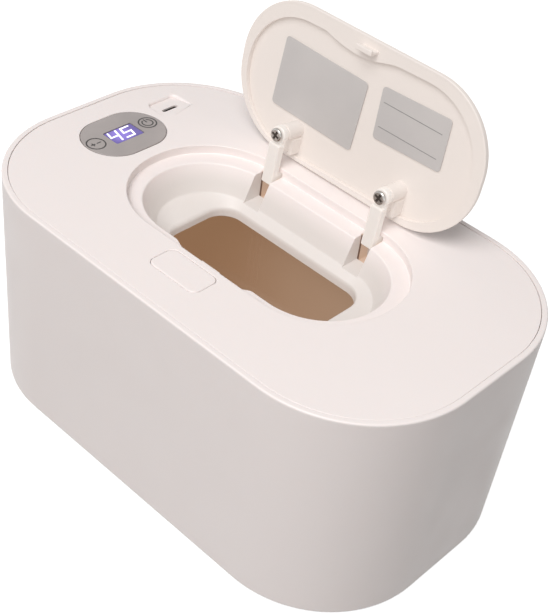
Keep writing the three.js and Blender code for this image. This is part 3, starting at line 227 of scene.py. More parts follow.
def select_where(piece, kind, test):
    """Selects, in edit mode, only the edges or the faces that pass a test."""
    bpy.ops.mesh.select_all(action="DESELECT")
    mesh = bmesh.from_edit_mesh(piece.data)
    for part in getattr(mesh, kind):
        part.select_set(test(part))
    bmesh.update_edit_mesh(piece.data)


def flat_face(half_x, half_y, x, y, z):
    bpy.ops.object.select_all(action="DESELECT")
    bpy.ops.mesh.primitive_plane_add(size=2, location=(x, y, z))
    face = bpy.context.object
    face.scale = (half_x, half_y, 1)
    settle(face)
    return face


def rounded_face(half_x, half_y, radius, z, x=0.0, y=0.0, steps=CORNER_STEPS):
    """A flat face with rounded corners. The values before its steps are those of a ring."""
    face = flat_face(half_x, half_y, x, y, z)
    open_mesh(face)
    limit = min(half_x, half_y) * FULL_ROUND_SHARE
    bpy.ops.mesh.bevel(offset=min(radius, limit), segments=steps, affect="VERTICES", clamp_overlap=False)
    close_mesh()
    return face


def loft(rings, steps=CORNER_STEPS):
    """A closed solid through rings, bridged one above the other before each goes to its height."""
    rise = math.copysign(STACKING, rings[-1][3] - rings[0][3])
    faces = [rounded_face(*ring[:3], place * rise, *ring[4:], steps) for place, ring in enumerate(rings)]
    piece = faces[0]
    pick(*faces)
    bpy.ops.object.join()
    count = len(piece.data.vertices) // len(rings)
    open_mesh(piece)
    bpy.ops.mesh.select_mode(type="FACE")
    select_where(piece, "faces", lambda face: 0 < face.verts[0].index // count < len(rings) - 1)
    bpy.ops.mesh.delete(type="ONLY_FACE")
    bpy.ops.mesh.select_mode(type="EDGE")
    for ring in range(len(rings) - 1):
        rims = ({ring}, {ring + 1})
        select_where(piece, "edges", lambda edge: {vertex.index // count for vertex in edge.verts} in rims)
        bpy.ops.mesh.bridge_edge_loops()
    bpy.ops.mesh.select_all(action="SELECT")
    bpy.ops.mesh.normals_make_consistent(inside=False)
    bpy.ops.mesh.select_mode(type="VERT")
    close_mesh()
    for vertex in piece.data.vertices:
        vertex.co.z = rings[vertex.index // count][3]
    return piece


def between(first, second, share):
    return tuple(a + (b - a) * share for a, b in zip(first, second))


def span(first, second):
    run = max(abs(first[0] - second[0]), abs(first[1] - second[1]))
    return math.hypot(run, first[3] - second[3])


def eased(corners):
    """Rings along a profile whose corners are rounded. Each corner is (ring, reach of its round)."""
    rings = []
    last = len(corners) - 1
    for place, (ring, reach) in enumerate(corners):
        if reach == 0 or place in (0, last):
            rings.append(ring)
            continue
        before, after = corners[place - 1][0], corners[place + 1][0]
        start = between(ring, before, reach / span(ring, before))
        end = between(ring, after, reach / span(ring, after))
        for step in range(ROUND_STEPS + 1):
            share = step / ROUND_STEPS
            rings.append(between(between(start, ring, share), between(ring, end, share), share))
    return [
        ring for place, ring in enumerate(rings)
        if place == 0 or span(ring, rings[place - 1]) > LEAST_STEP
    ]


def profile(ring, *corners):
    """Eased rings of one kind. Each corner is (inset or growth, height, reach of its round)."""
    return eased([(ring(out, z), reach) for out, z, reach in corners])


def block(low, high, round_by=0.0):
    bpy.ops.object.select_all(action="DESELECT")
    bpy.ops.mesh.primitive_cube_add(size=1, location=(Vector(low) + Vector(high)) / 2)
    piece = bpy.context.object
    piece.scale = Vector(high) - Vector(low)
    settle(piece)
    if round_by:
        open_mesh(piece)
        bpy.ops.mesh.bevel(offset=round_by, segments=FEWEST_STEPS, affect="EDGES")
        close_mesh()
    return piece


def bar(half_x, y, half_y, low, high):
    """A bar across the middle plane, at a place along Y."""
    return block((-half_x, y - half_y, low), (half_x, y + half_y, high))


def rod(radius, low, high, round_by=0.0, segments=ROD_SEGMENTS):
    """A rod from one point to another along X, Y or Z."""
    bpy.ops.object.select_all(action="DESELECT")
    start, end = Vector(low), Vector(high)
    run = end - start
    bpy.ops.mesh.primitive_cylinder_add(vertices=segments, radius=radius, depth=run.length)
    piece = bpy.context.object
    settle(piece, Matrix.Translation((start + end) / 2) @ run.to_track_quat("Z", "Y").to_matrix().to_4x4())
    if round_by:
        open_mesh(piece)
        select_where(piece, "faces", lambda face: len(face.verts) > SIDE_CORNERS)
        bpy.ops.mesh.bevel(offset=round_by, segments=FEW_STEPS, affect="EDGES")
        close_mesh()
    return piece


def set_all(thing, settings):
    for setting, value in settings.items():
        setattr(thing, setting, value)


def modify(piece, kind, **settings):
    modifier = piece.modifiers.new("shaping", kind)
    set_all(modifier, settings)
    pick(piece)
    bpy.ops.object.modifier_apply(modifier=modifier.name)


def combine(piece, tool, operation):
    modify(piece, "BOOLEAN", object=tool, operation=operation, solver="EXACT")
    bpy.data.objects.remove(tool)


def carve(piece, *tools):
    for tool in tools:
        combine(piece, tool, "DIFFERENCE")


def unite(piece, *tools):
    for tool in tools:
        combine(piece, tool, "UNION")


def soften(piece, width, steps=2):
    modify(piece, "BEVEL", width=width, segments=steps, limit_method="ANGLE", angle_limit=SOFTEN_ANGLE)


def copy_of(piece):
    twin = piece.copy()
    twin.data = piece.data.copy()
    bpy.context.scene.collection.objects.link(twin)
    return twin


def finished(piece, name, body, slot, finish, *nodes):
    """The shaped piece brought to metres, smoothed, painted and given to its body. The lid is turned open."""
    turn = Matrix.Identity(4)
    if body == "lid":
        turn = Matrix.Translation(PIVOT) @ Matrix.Rotation(OPEN_ANGLE, 4, "X") @ Matrix.Translation(-PIVOT)
    piece.name = name
    settle(piece, Matrix.Scale(MILLIMETRE, 4) @ turn)
    bpy.ops.object.shade_smooth_by_angle(angle=SMOOTH_ANGLE)
    modify(piece, "WEIGHTED_NORMAL", keep_sharp=True)
    piece.data.materials.clear()
    piece.data.materials.append(MATERIALS[finish])
    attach(piece, body)
    if nodes:
        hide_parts(*nodes)


# Nodes of the finishes, the world and the floor.
def feed(node, inputs):
    """Gives each input a value, or links it to an output. A node stands for its first output."""
    for name, value in inputs.items():
        if isinstance(value, bpy.types.Node):
            value = value.outputs[0]
        if isinstance(value, bpy.types.NodeSocket):
            node.id_data.links.new(value, node.inputs[name])
        else:
            node.inputs[name].default_value = value


def add_node(owner, kind, inputs, **settings):
    node = owner.node_tree.nodes.new(f"ShaderNode{kind}")
    set_all(node, settings)
    feed(node, inputs)
    return node


def shader_of(material):
    return material.node_tree.nodes["Principled BSDF"]


def object_place(material):
    return add_node(material, "TexCoord", {}).outputs["Object"]


def object_noise(material, scale, detail, stretch):
    mapping = add_node(material, "Mapping", {"Vector": object_place(material), "Scale": stretch})
    return add_node(material, "TexNoise", {"Vector": mapping, "Scale": scale, "Detail": detail})


def paint_ramp(ramp, colours, places=(0, 1)):
    for stop, place, colour in zip(ramp.color_ramp.elements, places, colours):
        stop.position = place
        stop.color = (*colour, 1)


# Finishes: light and dark shade, the scale of their change, least and most roughness, then the scale of the
# gloss, the grain's scale and its height in micrometres and, past plain plastic, metal and stretch.
MICROMETRE = 0.000001
FINISHES = {
    "satin_shell": ((0.868, 0.795, 0.775), (0.856, 0.782, 0.76), 9, (0.38, 0.46), (60, 1500, 20)),
    "lid_painted_glow": ((0.6, 0.555, 0.525), (0.587, 0.541, 0.511), 9, (0.38, 0.46), (60, 1500, 20)),
    "milky_arm": ((0.575, 0.545, 0.52), (0.56, 0.53, 0.505), 160, (0.3, 0.4), (200, 900, 20)),
    # The next four rows are painted shade: the tank's brown, the pockets' tan, the near black in the screws'
    # drives and the socket's shell, and the brown of the pockets' shadow line.
    "tank_painted_shade_and_glow": ((0.27, 0.2, 0.155), (0.24, 0.18, 0.14), 14, (0.45, 0.55), (90, 1200, 30)),
    "pocket_painted_shade": ((0.46, 0.365, 0.3), (0.42, 0.33, 0.27), 160, (0.45, 0.55), (200, 900, 20)),
    "painted_shade_dark": ((0.06, 0.047, 0.04), (0.042, 0.033, 0.028), 400, (0.3, 0.45), (400, 1200, 20), 0.5),
    "painted_shadow_brown": ((0.2, 0.12, 0.085), (0.16, 0.095, 0.068), 400, (0.5, 0.6), (400, 1200, 20)),
    "panel_grey": ((0.4, 0.355, 0.34), (0.325, 0.29, 0.28), 45, (0.16, 0.22), (80, 700, 10)),
    "touch_ink": ((0.036, 0.031, 0.029), (0.026, 0.022, 0.021), 300, (0.4, 0.5), (300, 900, 10)),
    "lit_window": ((0.105, 0.065, 0.36), (0.08, 0.05, 0.3), 300, (0.08, 0.16), (120, 500, 10)),
    "lit_digit": ((0.95, 0.95, 1.0), (0.88, 0.88, 0.98), 900, (0.3, 0.4), (300, 900, 10)),
    "lit_label": ((0.585, 0.553, 0.537), (0.515, 0.49, 0.48), 22, (0.34, 0.42), (200, 1200, 10)),
    "rule_ink": ((0.26, 0.25, 0.245), (0.23, 0.22, 0.215), 60, (0.4, 0.5), (200, 900, 10)),
    # Painted shade inside the power socket.
    "socket_painted_shade": ((0.03, 0.022, 0.018), (0.02, 0.015, 0.012), 300, (0.4, 0.55), (300, 900, 20)),
    "chrome_screw": ((0.66, 0.64, 0.615), (0.4, 0.38, 0.36), 500, (0.1, 0.2), (700, 1600, 20), 1.0),
    "foam_sleeve": ((0.8, 0.78, 0.71), (0.7, 0.68, 0.61), 350, (0.9, 0.98), (300, 700, 400)),
    "foot_rubber": ((0.03, 0.03, 0.03), (0.018, 0.018, 0.018), 250, (0.75, 0.9), (300, 1100, 120)),
    "seal_silicone": ((0.66, 0.64, 0.6), (0.6, 0.58, 0.55), 120, (0.6, 0.75), (200, 900, 30)),
    "display_black": ((0.02, 0.018, 0.024), (0.012, 0.011, 0.016), 300, (0.35, 0.5), (200, 900, 20)),
    "board_green": ((0.03, 0.14, 0.055), (0.02, 0.1, 0.04), 320, (0.4, 0.6), (400, 1400, 40)),
    "spring_steel": ((0.58, 0.6, 0.62), (0.5, 0.52, 0.54), 400, (0.25, 0.38), (500, 1500, 20), 1.0),
    "spreader_aluminium": (
        (0.6, 0.61, 0.62), (0.53, 0.54, 0.55), 60, (0.32, 0.45), (60, 300, 30), 1.0, (1, 14, 1),
    ),
    "heater_amber": ((0.5, 0.2, 0.035), (0.4, 0.15, 0.025), 160, (0.3, 0.45), (200, 700, 30)),
    "wire_red": ((0.42, 0.03, 0.02), (0.34, 0.022, 0.016), 300, (0.4, 0.5), (300, 900, 20)),
    "wire_black": ((0.022, 0.022, 0.022), (0.014, 0.014, 0.014), 300, (0.4, 0.55), (300, 900, 20)),
    "sensor_epoxy": ((0.016, 0.016, 0.018), (0.01, 0.01, 0.011), 400, (0.45, 0.6), (300, 900, 40)),
}
FINISHES["basin_painted_shade"] = FINISHES["satin_shell"]
# The middle stretch of a noise, over which a shade or a gloss runs from one end to the other.
NOISE_STRETCH = (0.3, 0.7)
SHADE_DETAIL = 3
GRAIN_DETAIL = 2


def finish_of(name, light, dark, shade_scale, gloss, texture, metallic=0.0, stretch=(1, 1, 1)):
    gloss_scale, grain_scale, grain_height = texture
    material = bpy.data.materials.new(name)
    material.use_nodes = True
    shader = shader_of(material)
    feed(shader, {"Base Color": (*light, 1), "Roughness": gloss[1], "Metallic": metallic})
    shade_noise = object_noise(material, shade_scale, SHADE_DETAIL, stretch)
    shade = add_node(material, "ValToRGB", {"Fac": shade_noise})
    paint_ramp(shade, (dark, light), NOISE_STRETCH)
    polish = add_node(material, "MapRange", {
        "Value": object_noise(material, gloss_scale, GRAIN_DETAIL, stretch),
        "From Min": NOISE_STRETCH[0], "From Max": NOISE_STRETCH[1], "To Min": gloss[0], "To Max": gloss[1],
    })
    grain = add_node(material, "Bump", {
        "Height": object_noise(material, grain_scale, GRAIN_DETAIL, stretch),
        "Distance": grain_height * MICROMETRE,
    })
    feed(shader, {"Base Color": shade, "Roughness": polish, "Normal": grain})
    return material


MATERIALS = {name: finish_of(name, *row) for name, row in FINISHES.items()}


def let_light_in(name, weight, radius, scale):
    """Lets light a little way into a plastic."""
    feed(shader_of(MATERIALS[name]), {
        "Subsurface Weight": weight, "Subsurface Radius": radius, "Subsurface Scale": scale,
    })


def light_up(name, colour, strength):
    """Gives a finish a faint light of its own: a lit display's light, or a painted glow on a part that is no
    lamp. Its strength is a number, or a node to follow.
    """
    feed(shader_of(MATERIALS[name]), {
        "Emission Color": (*colour, 1), "Emission Strength": strength,
    })


def tint_colour(name, share, colour, blend):
    """Mixes a colour into a finish's own, by a share that changes over the surface."""
    material, shader = MATERIALS[name], shader_of(MATERIALS[name])
    own = shader.inputs["Base Color"].links[0].from_socket
    tint = add_node(
        material, "Mix", {"Factor": share, "A": own, "B": (*colour, 1)}, data_type="RGBA", blend_type=blend,
    )
    feed(shader, {"Base Color": tint.outputs["Result"]})


# How much light a plastic lets in, how far in metres, and on what scale.
SHELL_DEPTH = (0.06, (0.004, 0.003, 0.0025), 0.5)
ARM_DEPTH = (0.5, (0.004, 0.0035, 0.003), 0.6)
# Colour and strength of a faint light: the lit digits' own, and a painted glow on the arms and in the
# pockets.
ARM_PAINTED_GLOW = ((1.0, 0.92, 0.86), 0.31)
DIGIT_GLOW = ((0.92, 0.92, 1.0), 0.6)
POCKET_PAINTED_GLOW = ((0.5, 0.34, 0.24), 0.5)
# Heights in metres between which the cover's plastic takes on a painted shade and a painted glow, both
# growing lower down in the basin.
BASIN_PAINTED_SHADE_HEIGHTS = (0.086, 0.0935)
BASIN_PAINTED_SHADE = (0.67, 0.68, 0.665)
BASIN_PAINTED_GLOW_COLOUR = (1.0, 0.93, 0.89)
BASIN_PAINTED_GLOW = 0.16
# Depths in metres below the lid's outer face between which its inside finish starts, a darker colour lit by a
# painted glow.
LID_SKIN = (0.0014, 0.0006)
LID_OUTSIDE = (0.862, 0.789, 0.768)
LID_PAINTED_GLOW_COLOUR = (1.0, 0.885, 0.81)
LID_PAINTED_GLOW = 0.235
# Places along X in metres between which the tank's painted glow changes its colour.
TANK_REACH = (-0.06, 0.05)
TANK_PAINTED_GLOWS = ((0.200, 0.115, 0.064), (0.230, 0.162, 0.114))
# The lit window: where its glow is strongest, how far it reaches and how strong it is at both ends.
WINDOW_MIDDLE = (-0.0788, -0.0014, 0.0971)
WINDOW_FADE = (0.002, 0.0068)
WINDOW_GLOW = (0.62, 0.10)
WINDOW_LIGHT = (0.26, 0.18, 0.62)
WINDOW_COAT = 0.4


def basin_painted_shade():
    """The cover's plastic is as the casing on top. Lower in the basin a painted shade darkens it and a warm
    painted glow stands in for light through the plastic.
    """
    material = MATERIALS["basin_painted_shade"]
    height = add_node(material, "SeparateXYZ", {"Vector": object_place(material)}).outputs["Z"]
    deep = add_node(
        material, "MapRange", {"Value": height, "From Min": BASIN_PAINTED_SHADE_HEIGHTS[1], "From Max": BASIN_PAINTED_SHADE_HEIGHTS[0]},
        interpolation_type="SMOOTHSTEP",
    )
    tint_colour("basin_painted_shade", deep, BASIN_PAINTED_SHADE, "MULTIPLY")
    glow = add_node(material, "Math", {0: deep, 1: BASIN_PAINTED_GLOW}, operation="MULTIPLY")
    light_up("basin_painted_shade", BASIN_PAINTED_GLOW_COLOUR, glow)


def lid_painted_glow():
    """The lid's inside has a darker colour and a warm painted glow that stands in for light passing through
    it. Its outer face is as the casing.
    """
    material = MATERIALS["lid_painted_glow"]
    outwards = Matrix.Rotation(OPEN_ANGLE, 3, "X") @ Vector((0, 0, 1))
    skin = (PIVOT.dot(outwards) + TOP - PIVOT.z) * MILLIMETRE
    height = add_node(
        material, "VectorMath", {0: object_place(material), 1: outwards}, operation="DOT_PRODUCT",
    ).outputs["Value"]
    outside = add_node(material, "MapRange", {
        "Value": height, "From Min": skin - LID_SKIN[0], "From Max": skin - LID_SKIN[1],
    })
    tint_colour("lid_painted_glow", outside, LID_OUTSIDE, "MIX")
    glow = add_node(material, "MapRange", {"Value": outside, "To Min": LID_PAINTED_GLOW, "To Max": 0})
    light_up("lid_painted_glow", LID_PAINTED_GLOW_COLOUR, glow)


def lit_window():
    """The window is lit from behind its middle."""
    material = MATERIALS["lit_window"]
    away = add_node(
        material, "VectorMath", {0: object_place(material), 1: WINDOW_MIDDLE}, operation="DISTANCE",
    ).outputs["Value"]
    fade = add_node(
        material, "MapRange",
        {
            "Value": away, "From Min": WINDOW_FADE[0], "From Max": WINDOW_FADE[1],
            "To Min": WINDOW_GLOW[0], "To Max": WINDOW_GLOW[1],
        },
        interpolation_type="SMOOTHSTEP",
    )
    light_up("lit_window", WINDOW_LIGHT, fade)
    feed(shader_of(material), {"Coat Weight": WINDOW_COAT})


def tank_painted_shade_and_glow():
    """The tank's brown is painted shade, and a painted glow over it changes from one colour to another along
    its length.
    """
    material = MATERIALS["tank_painted_shade_and_glow"]
    length = add_node(material, "SeparateXYZ", {"Vector": object_place(material)}).outputs["X"]
    spread = add_node(
        material, "MapRange", {"Value": length, "From Min": TANK_REACH[0], "From Max": TANK_REACH[1]},
    )
    ramp = add_node(material, "ValToRGB", {"Fac": spread})
    paint_ramp(ramp, TANK_PAINTED_GLOWS)
    feed(shader_of(material), {"Emission Color": ramp, "Emission Strength": 1})


let_light_in("satin_shell", *SHELL_DEPTH)
let_light_in("basin_painted_shade", *SHELL_DEPTH)
let_light_in("milky_arm", *ARM_DEPTH)
light_up("milky_arm", *ARM_PAINTED_GLOW)
light_up("lit_digit", *DIGIT_GLOW)
light_up("pocket_painted_shade", *POCKET_PAINTED_GLOW)
basin_painted_shade()
lid_painted_glow()
lit_window()
tank_painted_shade_and_glow()


# Camera, lamp, world and floor, in metres.
CAMERA_PLACE = (0.2406, -0.2915, 0.3693)
CAMERA_AZIMUTH = math.radians(38.406)
CAMERA_ELEVATION = math.radians(39.3)
CAMERA_ROLL = math.radians(8.423)
CAMERA_LENS = 74.31
CAMERA_CLIP = (0.01, 20)
LAMP_PLACE = (0.225, -0.974, 1.435)
LAMP_AIM = (0, 0, 0.06)
LAMP_SIZE = 1.1
LAMP_POWER = 26
ROOM_COLOUR = (1, 0.99, 0.98)
ROOM_STRENGTH = 0.318
FLOOR_HALF = 3
FLOOR_COLOUR = (0.17, 0.165, 0.16)
FLOOR_ROUGHNESS = 0.9
FLOOR_PAPER = (0.5, 0.5, 0.5)
FLOOR_GLOW = 0.8


def camera():
    azimuth = Matrix.Rotation(CAMERA_AZIMUTH, 4, "Z")
    elevation = Matrix.Rotation(math.pi / 2 - CAMERA_ELEVATION, 4, "X")
    roll = Matrix.Rotation(CAMERA_ROLL, 4, "Z")
    data = bpy.data.cameras.new("photo_camera")
    data.lens = CAMERA_LENS
    data.clip_start, data.clip_end = CAMERA_CLIP
    taker = bpy.data.objects.new("photo_camera", data)
    taker.matrix_world = Matrix.Translation(CAMERA_PLACE) @ azimuth @ elevation @ roll
    bpy.context.scene.collection.objects.link(taker)
    bpy.context.scene.camera = taker


def key_window():
    data = bpy.data.lights.new("key_window", "AREA")
    data.size = LAMP_SIZE
    data.energy = LAMP_POWER
    lamp = bpy.data.objects.new("key_window", data)
    lamp.location = LAMP_PLACE
    lamp.rotation_euler = (Vector(LAMP_AIM) - Vector(LAMP_PLACE)).to_track_quat("-Z", "Y").to_euler()
    bpy.context.scene.collection.objects.link(lamp)


def seen_directly(owner):
    """1 for camera, glossy and transmission rays, and 0 for the rays that light the object."""
    rays = add_node(owner, "LightPath", {}).outputs
    first = add_node(
        owner, "Math", {0: rays["Is Camera Ray"], 1: rays["Is Glossy Ray"]}, operation="MAXIMUM",
    )
    return add_node(owner, "Math", {0: first, 1: rays["Is Transmission Ray"]}, operation="MAXIMUM")


def show_mix(owner, unseen, seen, output):
    """One shader for the rays that light the object, and another for those that see directly."""
    mix = add_node(owner, "MixShader", {"Fac": seen_directly(owner), 1: unseen, 2: seen})
    feed(owner.node_tree.nodes[output], {"Surface": mix})


def white_world():
    world = bpy.data.worlds.new("white_room")
    bpy.context.scene.world = world
    world.use_nodes = True
    light = world.node_tree.nodes["Background"]
    feed(light, {"Color": (*ROOM_COLOUR, 1), "Strength": ROOM_STRENGTH})
    seen = add_node(world, "Background", {"Color": (1, 1, 1, 1)})
    show_mix(world, light, seen, "World Output")


def studio_floor():
    floor = flat_face(FLOOR_HALF, FLOOR_HALF, 0, 0, 0)
    floor.name = "studio_floor"
    material = bpy.data.materials.new("white_sweep")
    material.use_nodes = True
    plain = shader_of(material)
    feed(plain, {"Base Color": (*FLOOR_COLOUR, 1), "Roughness": FLOOR_ROUGHNESS})
    paper = add_node(material, "BsdfDiffuse", {"Color": (*FLOOR_PAPER, 1)})
    glow = add_node(material, "Emission", {"Strength": FLOOR_GLOW})
    seen = add_node(material, "AddShader", {0: paper, 1: glow})
    show_mix(material, plain, seen, "Material Output")
    floor.data.materials.append(material)


bpy.context.scene.view_settings.view_transform = "Standard"
camera()
white_world()
studio_floor()
key_window()


# The casing.
def case_ring(inset, z):
    draft = CASE_DRAFT * (1 - (z - CASE_LOW.z) / (CASE_HIGH.z - CASE_LOW.z))
    draw = inset + draft
    return CASE_HIGH.x - draw, CASE_HIGH.y - draw, CASE_CORNER - draw, z, 0.0, 0.0


def outer_housing():
    low, rim = CASE_LOW.z, CASE_HIGH.z
    body = loft(profile(
        case_ring,
        (RIM_ROUND * 2, low, 0),
        (0, low, FOOT_ROUND),
        (0, rim, RIM_ROUND),
        (RIM_ROUND, rim, 0),
    ))
    wall = CASE_WALL
    hollow = loft(profile(
        case_ring,
        (wall, low - OVERRUN, 0),
        (wall, LOWER_RIM[0], 0),
        (wall + LOWER_RIM_REACH, LOWER_RIM[0], 0),
        (wall + LOWER_RIM_REACH, LOWER_RIM[1], 0),
        (wall, LOWER_RIM[1], 0),
        (wall, SHELF[0], 0),
        (wall + SHELF_REACH, SHELF[0], 0),
        (wall + SHELF_REACH, SHELF[1], 0),
        (wall, SHELF[1], 0),
        (wall, rim, RIM_INNER_ROUND),
        (wall - RIM_INNER_ROUND, rim, 0),
        (wall - RIM_INNER_ROUND, rim + OVERRUN, 0),
    ))
    carve(body, hollow)
    finished(body, "outer_casing", "housing", "shell_plastic", "satin_shell", "outer_housing")


# The tank.
TANK_INSET = 7.4
TANK_WALL = 1.6
TANK_ROUND = 4
TANK_FLANGE = 2
TANK_FLOOR = 9
TANK_RIB = 0.8
TANK_RIBS = (-52, -48.5, -46)


def inner_tank():
    top = TANK_HIGH.z
    flange = top - TANK_FLANGE
    reach = CASE_WALL + SKIRT_GAP
    body = loft(profile(
        case_ring,
        (TANK_INSET + TANK_ROUND * 2, TANK_FLOOR, 0),
        (TANK_INSET, TANK_FLOOR, TANK_ROUND),
        (TANK_INSET, flange, GAP),
        (reach, flange, GAP),
        (reach, top, GAP),
        (reach + TANK_ROUND, top, 0),
    ))
    inset = TANK_INSET + TANK_WALL
    hollow = loft(profile(
        case_ring,
        (inset + TANK_ROUND * 2, TANK_FLOOR + TANK_WALL, 0),
        (inset, TANK_FLOOR + TANK_WALL, TANK_ROUND),
        (inset, top, GAP * 2),
        (inset - GAP * 2, top, 0),
        (inset - GAP * 2, top + OVERRUN, 0),
    ))
    carve(body, hollow)
    low, high = TANK_FLOOR + TANK_WALL + TANK_ROUND, flange - TANK_ROUND
    foot_y, head_y = [case_ring(inset - TANK_RIB / 2, z)[1] for z in (low, high)]
    unite(body, *[
        rod(TANK_RIB, (x, foot_y, low), (x, head_y, high), segments=SLIM_SEGMENTS) for x in TANK_RIBS
    ])
    finished(body, "wipe_tank", "housing", "tank_plastic", "tank_painted_shade_and_glow", "inner_tank")


# The top cover.
def basin_ring(outline, out, z):
    half_x, half_y, corner, y = outline
    return half_x + out, half_y + out, corner + out, z, 0.0, y


def basin_hollow():
    return loft(eased([
        (basin_ring(RECESS, RECESS_ROUND, TOP + OVERRUN), 0),
        (basin_ring(RECESS, RECESS_ROUND, TOP), 0),
        (basin_ring(RECESS, 0, TOP), RECESS_ROUND),
        (basin_ring(RECESS, 0, LEDGE), LEDGE_FILLET),
        (basin_ring(MOUTH, 0, LEDGE), MOUTH_ROUND),
        (basin_ring(FOOT, 0, TOP - FOOT_DEPTH), FOOT_FILLET),
        (basin_ring(OPENING, 0, TOP - OPENING_DEPTH), LIP_ROUND),
        (basin_ring(OPENING, 0, TOP - LIP_DEPTH - OVERRUN), 0),
    ]))


def basin_shell():
    return loft(eased([
        (basin_ring(RECESS, SHELL, TOP - COVER_PLATE / 2), 0),
        (basin_ring(RECESS, SHELL, LEDGE - LEDGE_SHELL), 0),
        (basin_ring(MOUTH, SHELL, LEDGE - LEDGE_SHELL), SHELL / 2),
        (basin_ring(FOOT, SHELL, TOP - FOOT_DEPTH - SHELL), FOOT_FILLET),
        (basin_ring(OPENING, SHELL, TOP - OPENING_DEPTH - SHELL), LIP_ROUND),
        (basin_ring(OPENING, SHELL, TOP - LIP_DEPTH), 0),
    ]))


def cover_plate():
    plate = CASE_WALL + COVER_GAP
    skirt = CASE_WALL + SKIRT_GAP
    body = loft(profile(
        case_ring,
        (skirt, UNDER - SKIRT_DEPTH, 0),
        (skirt, UNDER, 0),
        (plate, UNDER, 0),
        (plate, TOP, COVER_ROUND),
        (plate + COVER_ROUND, TOP, 0),
    ))
    inside = loft([
        case_ring(skirt + SKIRT_WALL, UNDER - SKIRT_DEPTH - OVERRUN),
        case_ring(skirt + SKIRT_WALL, UNDER),
    ])
    carve(body, inside)
    return body


def divide_edges(face, test):
    """Divides the edges that pass a test finely, so that they can take a curve."""
    open_mesh(face)
    bpy.ops.mesh.select_mode(type="EDGE")
    select_where(face, "edges", test)
    bpy.ops.mesh.subdivide(number_cuts=CURVE_CUTS)
    close_mesh()


def notch_face(grow, z):
    """The catch notch seen from above: the mouth's front edge pushed forwards, easing back at both ends."""
    back = MOUTH_SHIFT - MOUTH_HALF_Y * NOTCH_BACK_SHARE
    front = MOUTH_SHIFT - MOUTH_HALF_Y
    middle = (back + front) / 2
    low, high = NOTCH_ENDS[0] - NOTCH_FLARES[0], NOTCH_ENDS[1] + NOTCH_FLARES[1]
    face = flat_face((high - low) / 2, (back - front) / 2, (low + high) / 2, middle, z)
    divide_edges(face, lambda edge: all(vertex.co.y < middle for vertex in edge.verts))
    depth = front - NOTCH_FRONT
    for vertex in face.data.vertices:
        if vertex.co.y < middle:
            short = (NOTCH_ENDS[0] - vertex.co.x) / NOTCH_FLARES[0]
            past = max(0.0, short, (vertex.co.x - NOTCH_ENDS[1]) / NOTCH_FLARES[1])
            vertex.co.y -= depth * (1 + math.cos(math.pi * min(past, 1.0))) / 2 + grow
    return face


def prism(face, height, round_by=0.0, steps=ROUND_STEPS):
    """A flat face pushed up or down by a height. The end that it starts from flares out by round_by."""
    open_mesh(face)
    if round_by:
        for step in range(steps):
            now, then = (math.pi / 2 * step / steps, math.pi / 2 * (step + 1) / steps)
            bpy.ops.mesh.inset(
                thickness=round_by * (math.sin(then) - math.sin(now)),
                depth=math.copysign(round_by * (math.cos(now) - math.cos(then)), height),
            )
    bpy.ops.mesh.extrude_region_move(TRANSFORM_OT_translate={"value": (0, 0, height)})
    if round_by:
        bpy.ops.mesh.select_mode(type="EDGE")
        bpy.ops.mesh.select_all(action="DESELECT")
        bpy.ops.mesh.select_non_manifold()
        bpy.ops.mesh.edge_face_add()
    bpy.ops.mesh.select_all(action="SELECT")
    bpy.ops.mesh.normals_make_consistent(inside=False)
    close_mesh()
    return face


def slot_sides(side):
    return tuple(side * ARM_X + edge for edge in SLOT_SIDES)


def pocket_sides(side):
    low, high = slot_sides(side)
    return (low, high + POCKET_SPRING) if side > 0 else (low - POCKET_SPRING, high)


def hinge_cuts(side):
    """The slot through the ledge and the pocket behind it, on one side."""
    low_x, high_x = slot_sides(side)
    pocket_low, pocket_high = pocket_sides(side)
    reach = EYELET + GAP
    over = LEDGE + OVERRUN
    well_low = low_x - WELL_ROOM
    return [
        block(
            (pocket_low, PIVOT.y - reach, SLOT_FLOOR),
            (pocket_high, PIVOT.y + reach + GAP * 3, UNDER), POCKET_ROUND,
        ),
        block((low_x, SLOT_FRONT, SLOT_FLOOR), (high_x, WELL_FRONT + GAP, over)),
        block((well_low, WELL_FRONT, WELL_FLOOR), (high_x, RECESS_HALF_Y, over)),
        block((well_low, RECESS_HALF_Y - OVERRUN, WELL_FLOOR), (high_x, PIVOT.y, UNDER)),
    ]


def hinge_housing(side):
    low_x, high_x = slot_sides(side)
    pocket_low, pocket_high = pocket_sides(side)
    reach = EYELET + GAP + POCKET_WALL
    wall = WELL_ROOM + POCKET_WALL
    floor = SLOT_FLOOR - POCKET_WALL
    trough_top = LEDGE - LEDGE_SHELL / 2
    return [
        block(
            (pocket_low - POCKET_WALL, PIVOT.y - reach, floor),
            (pocket_high + POCKET_WALL, PIVOT.y + reach + GAP * 3, TOP - COVER_PLATE / 2),
        ),
        block((low_x - wall, FOOT_HALF_Y, floor + GAP), (high_x + wall, PIVOT.y, trough_top)),
        block(
            (low_x - wall + GAP, WELL_FRONT - POCKET_WALL, WELL_FLOOR - POCKET_WALL),
            (high_x + wall - GAP, PIVOT.y + POCKET_WALL, SLOT_FLOOR),
        ),
    ]


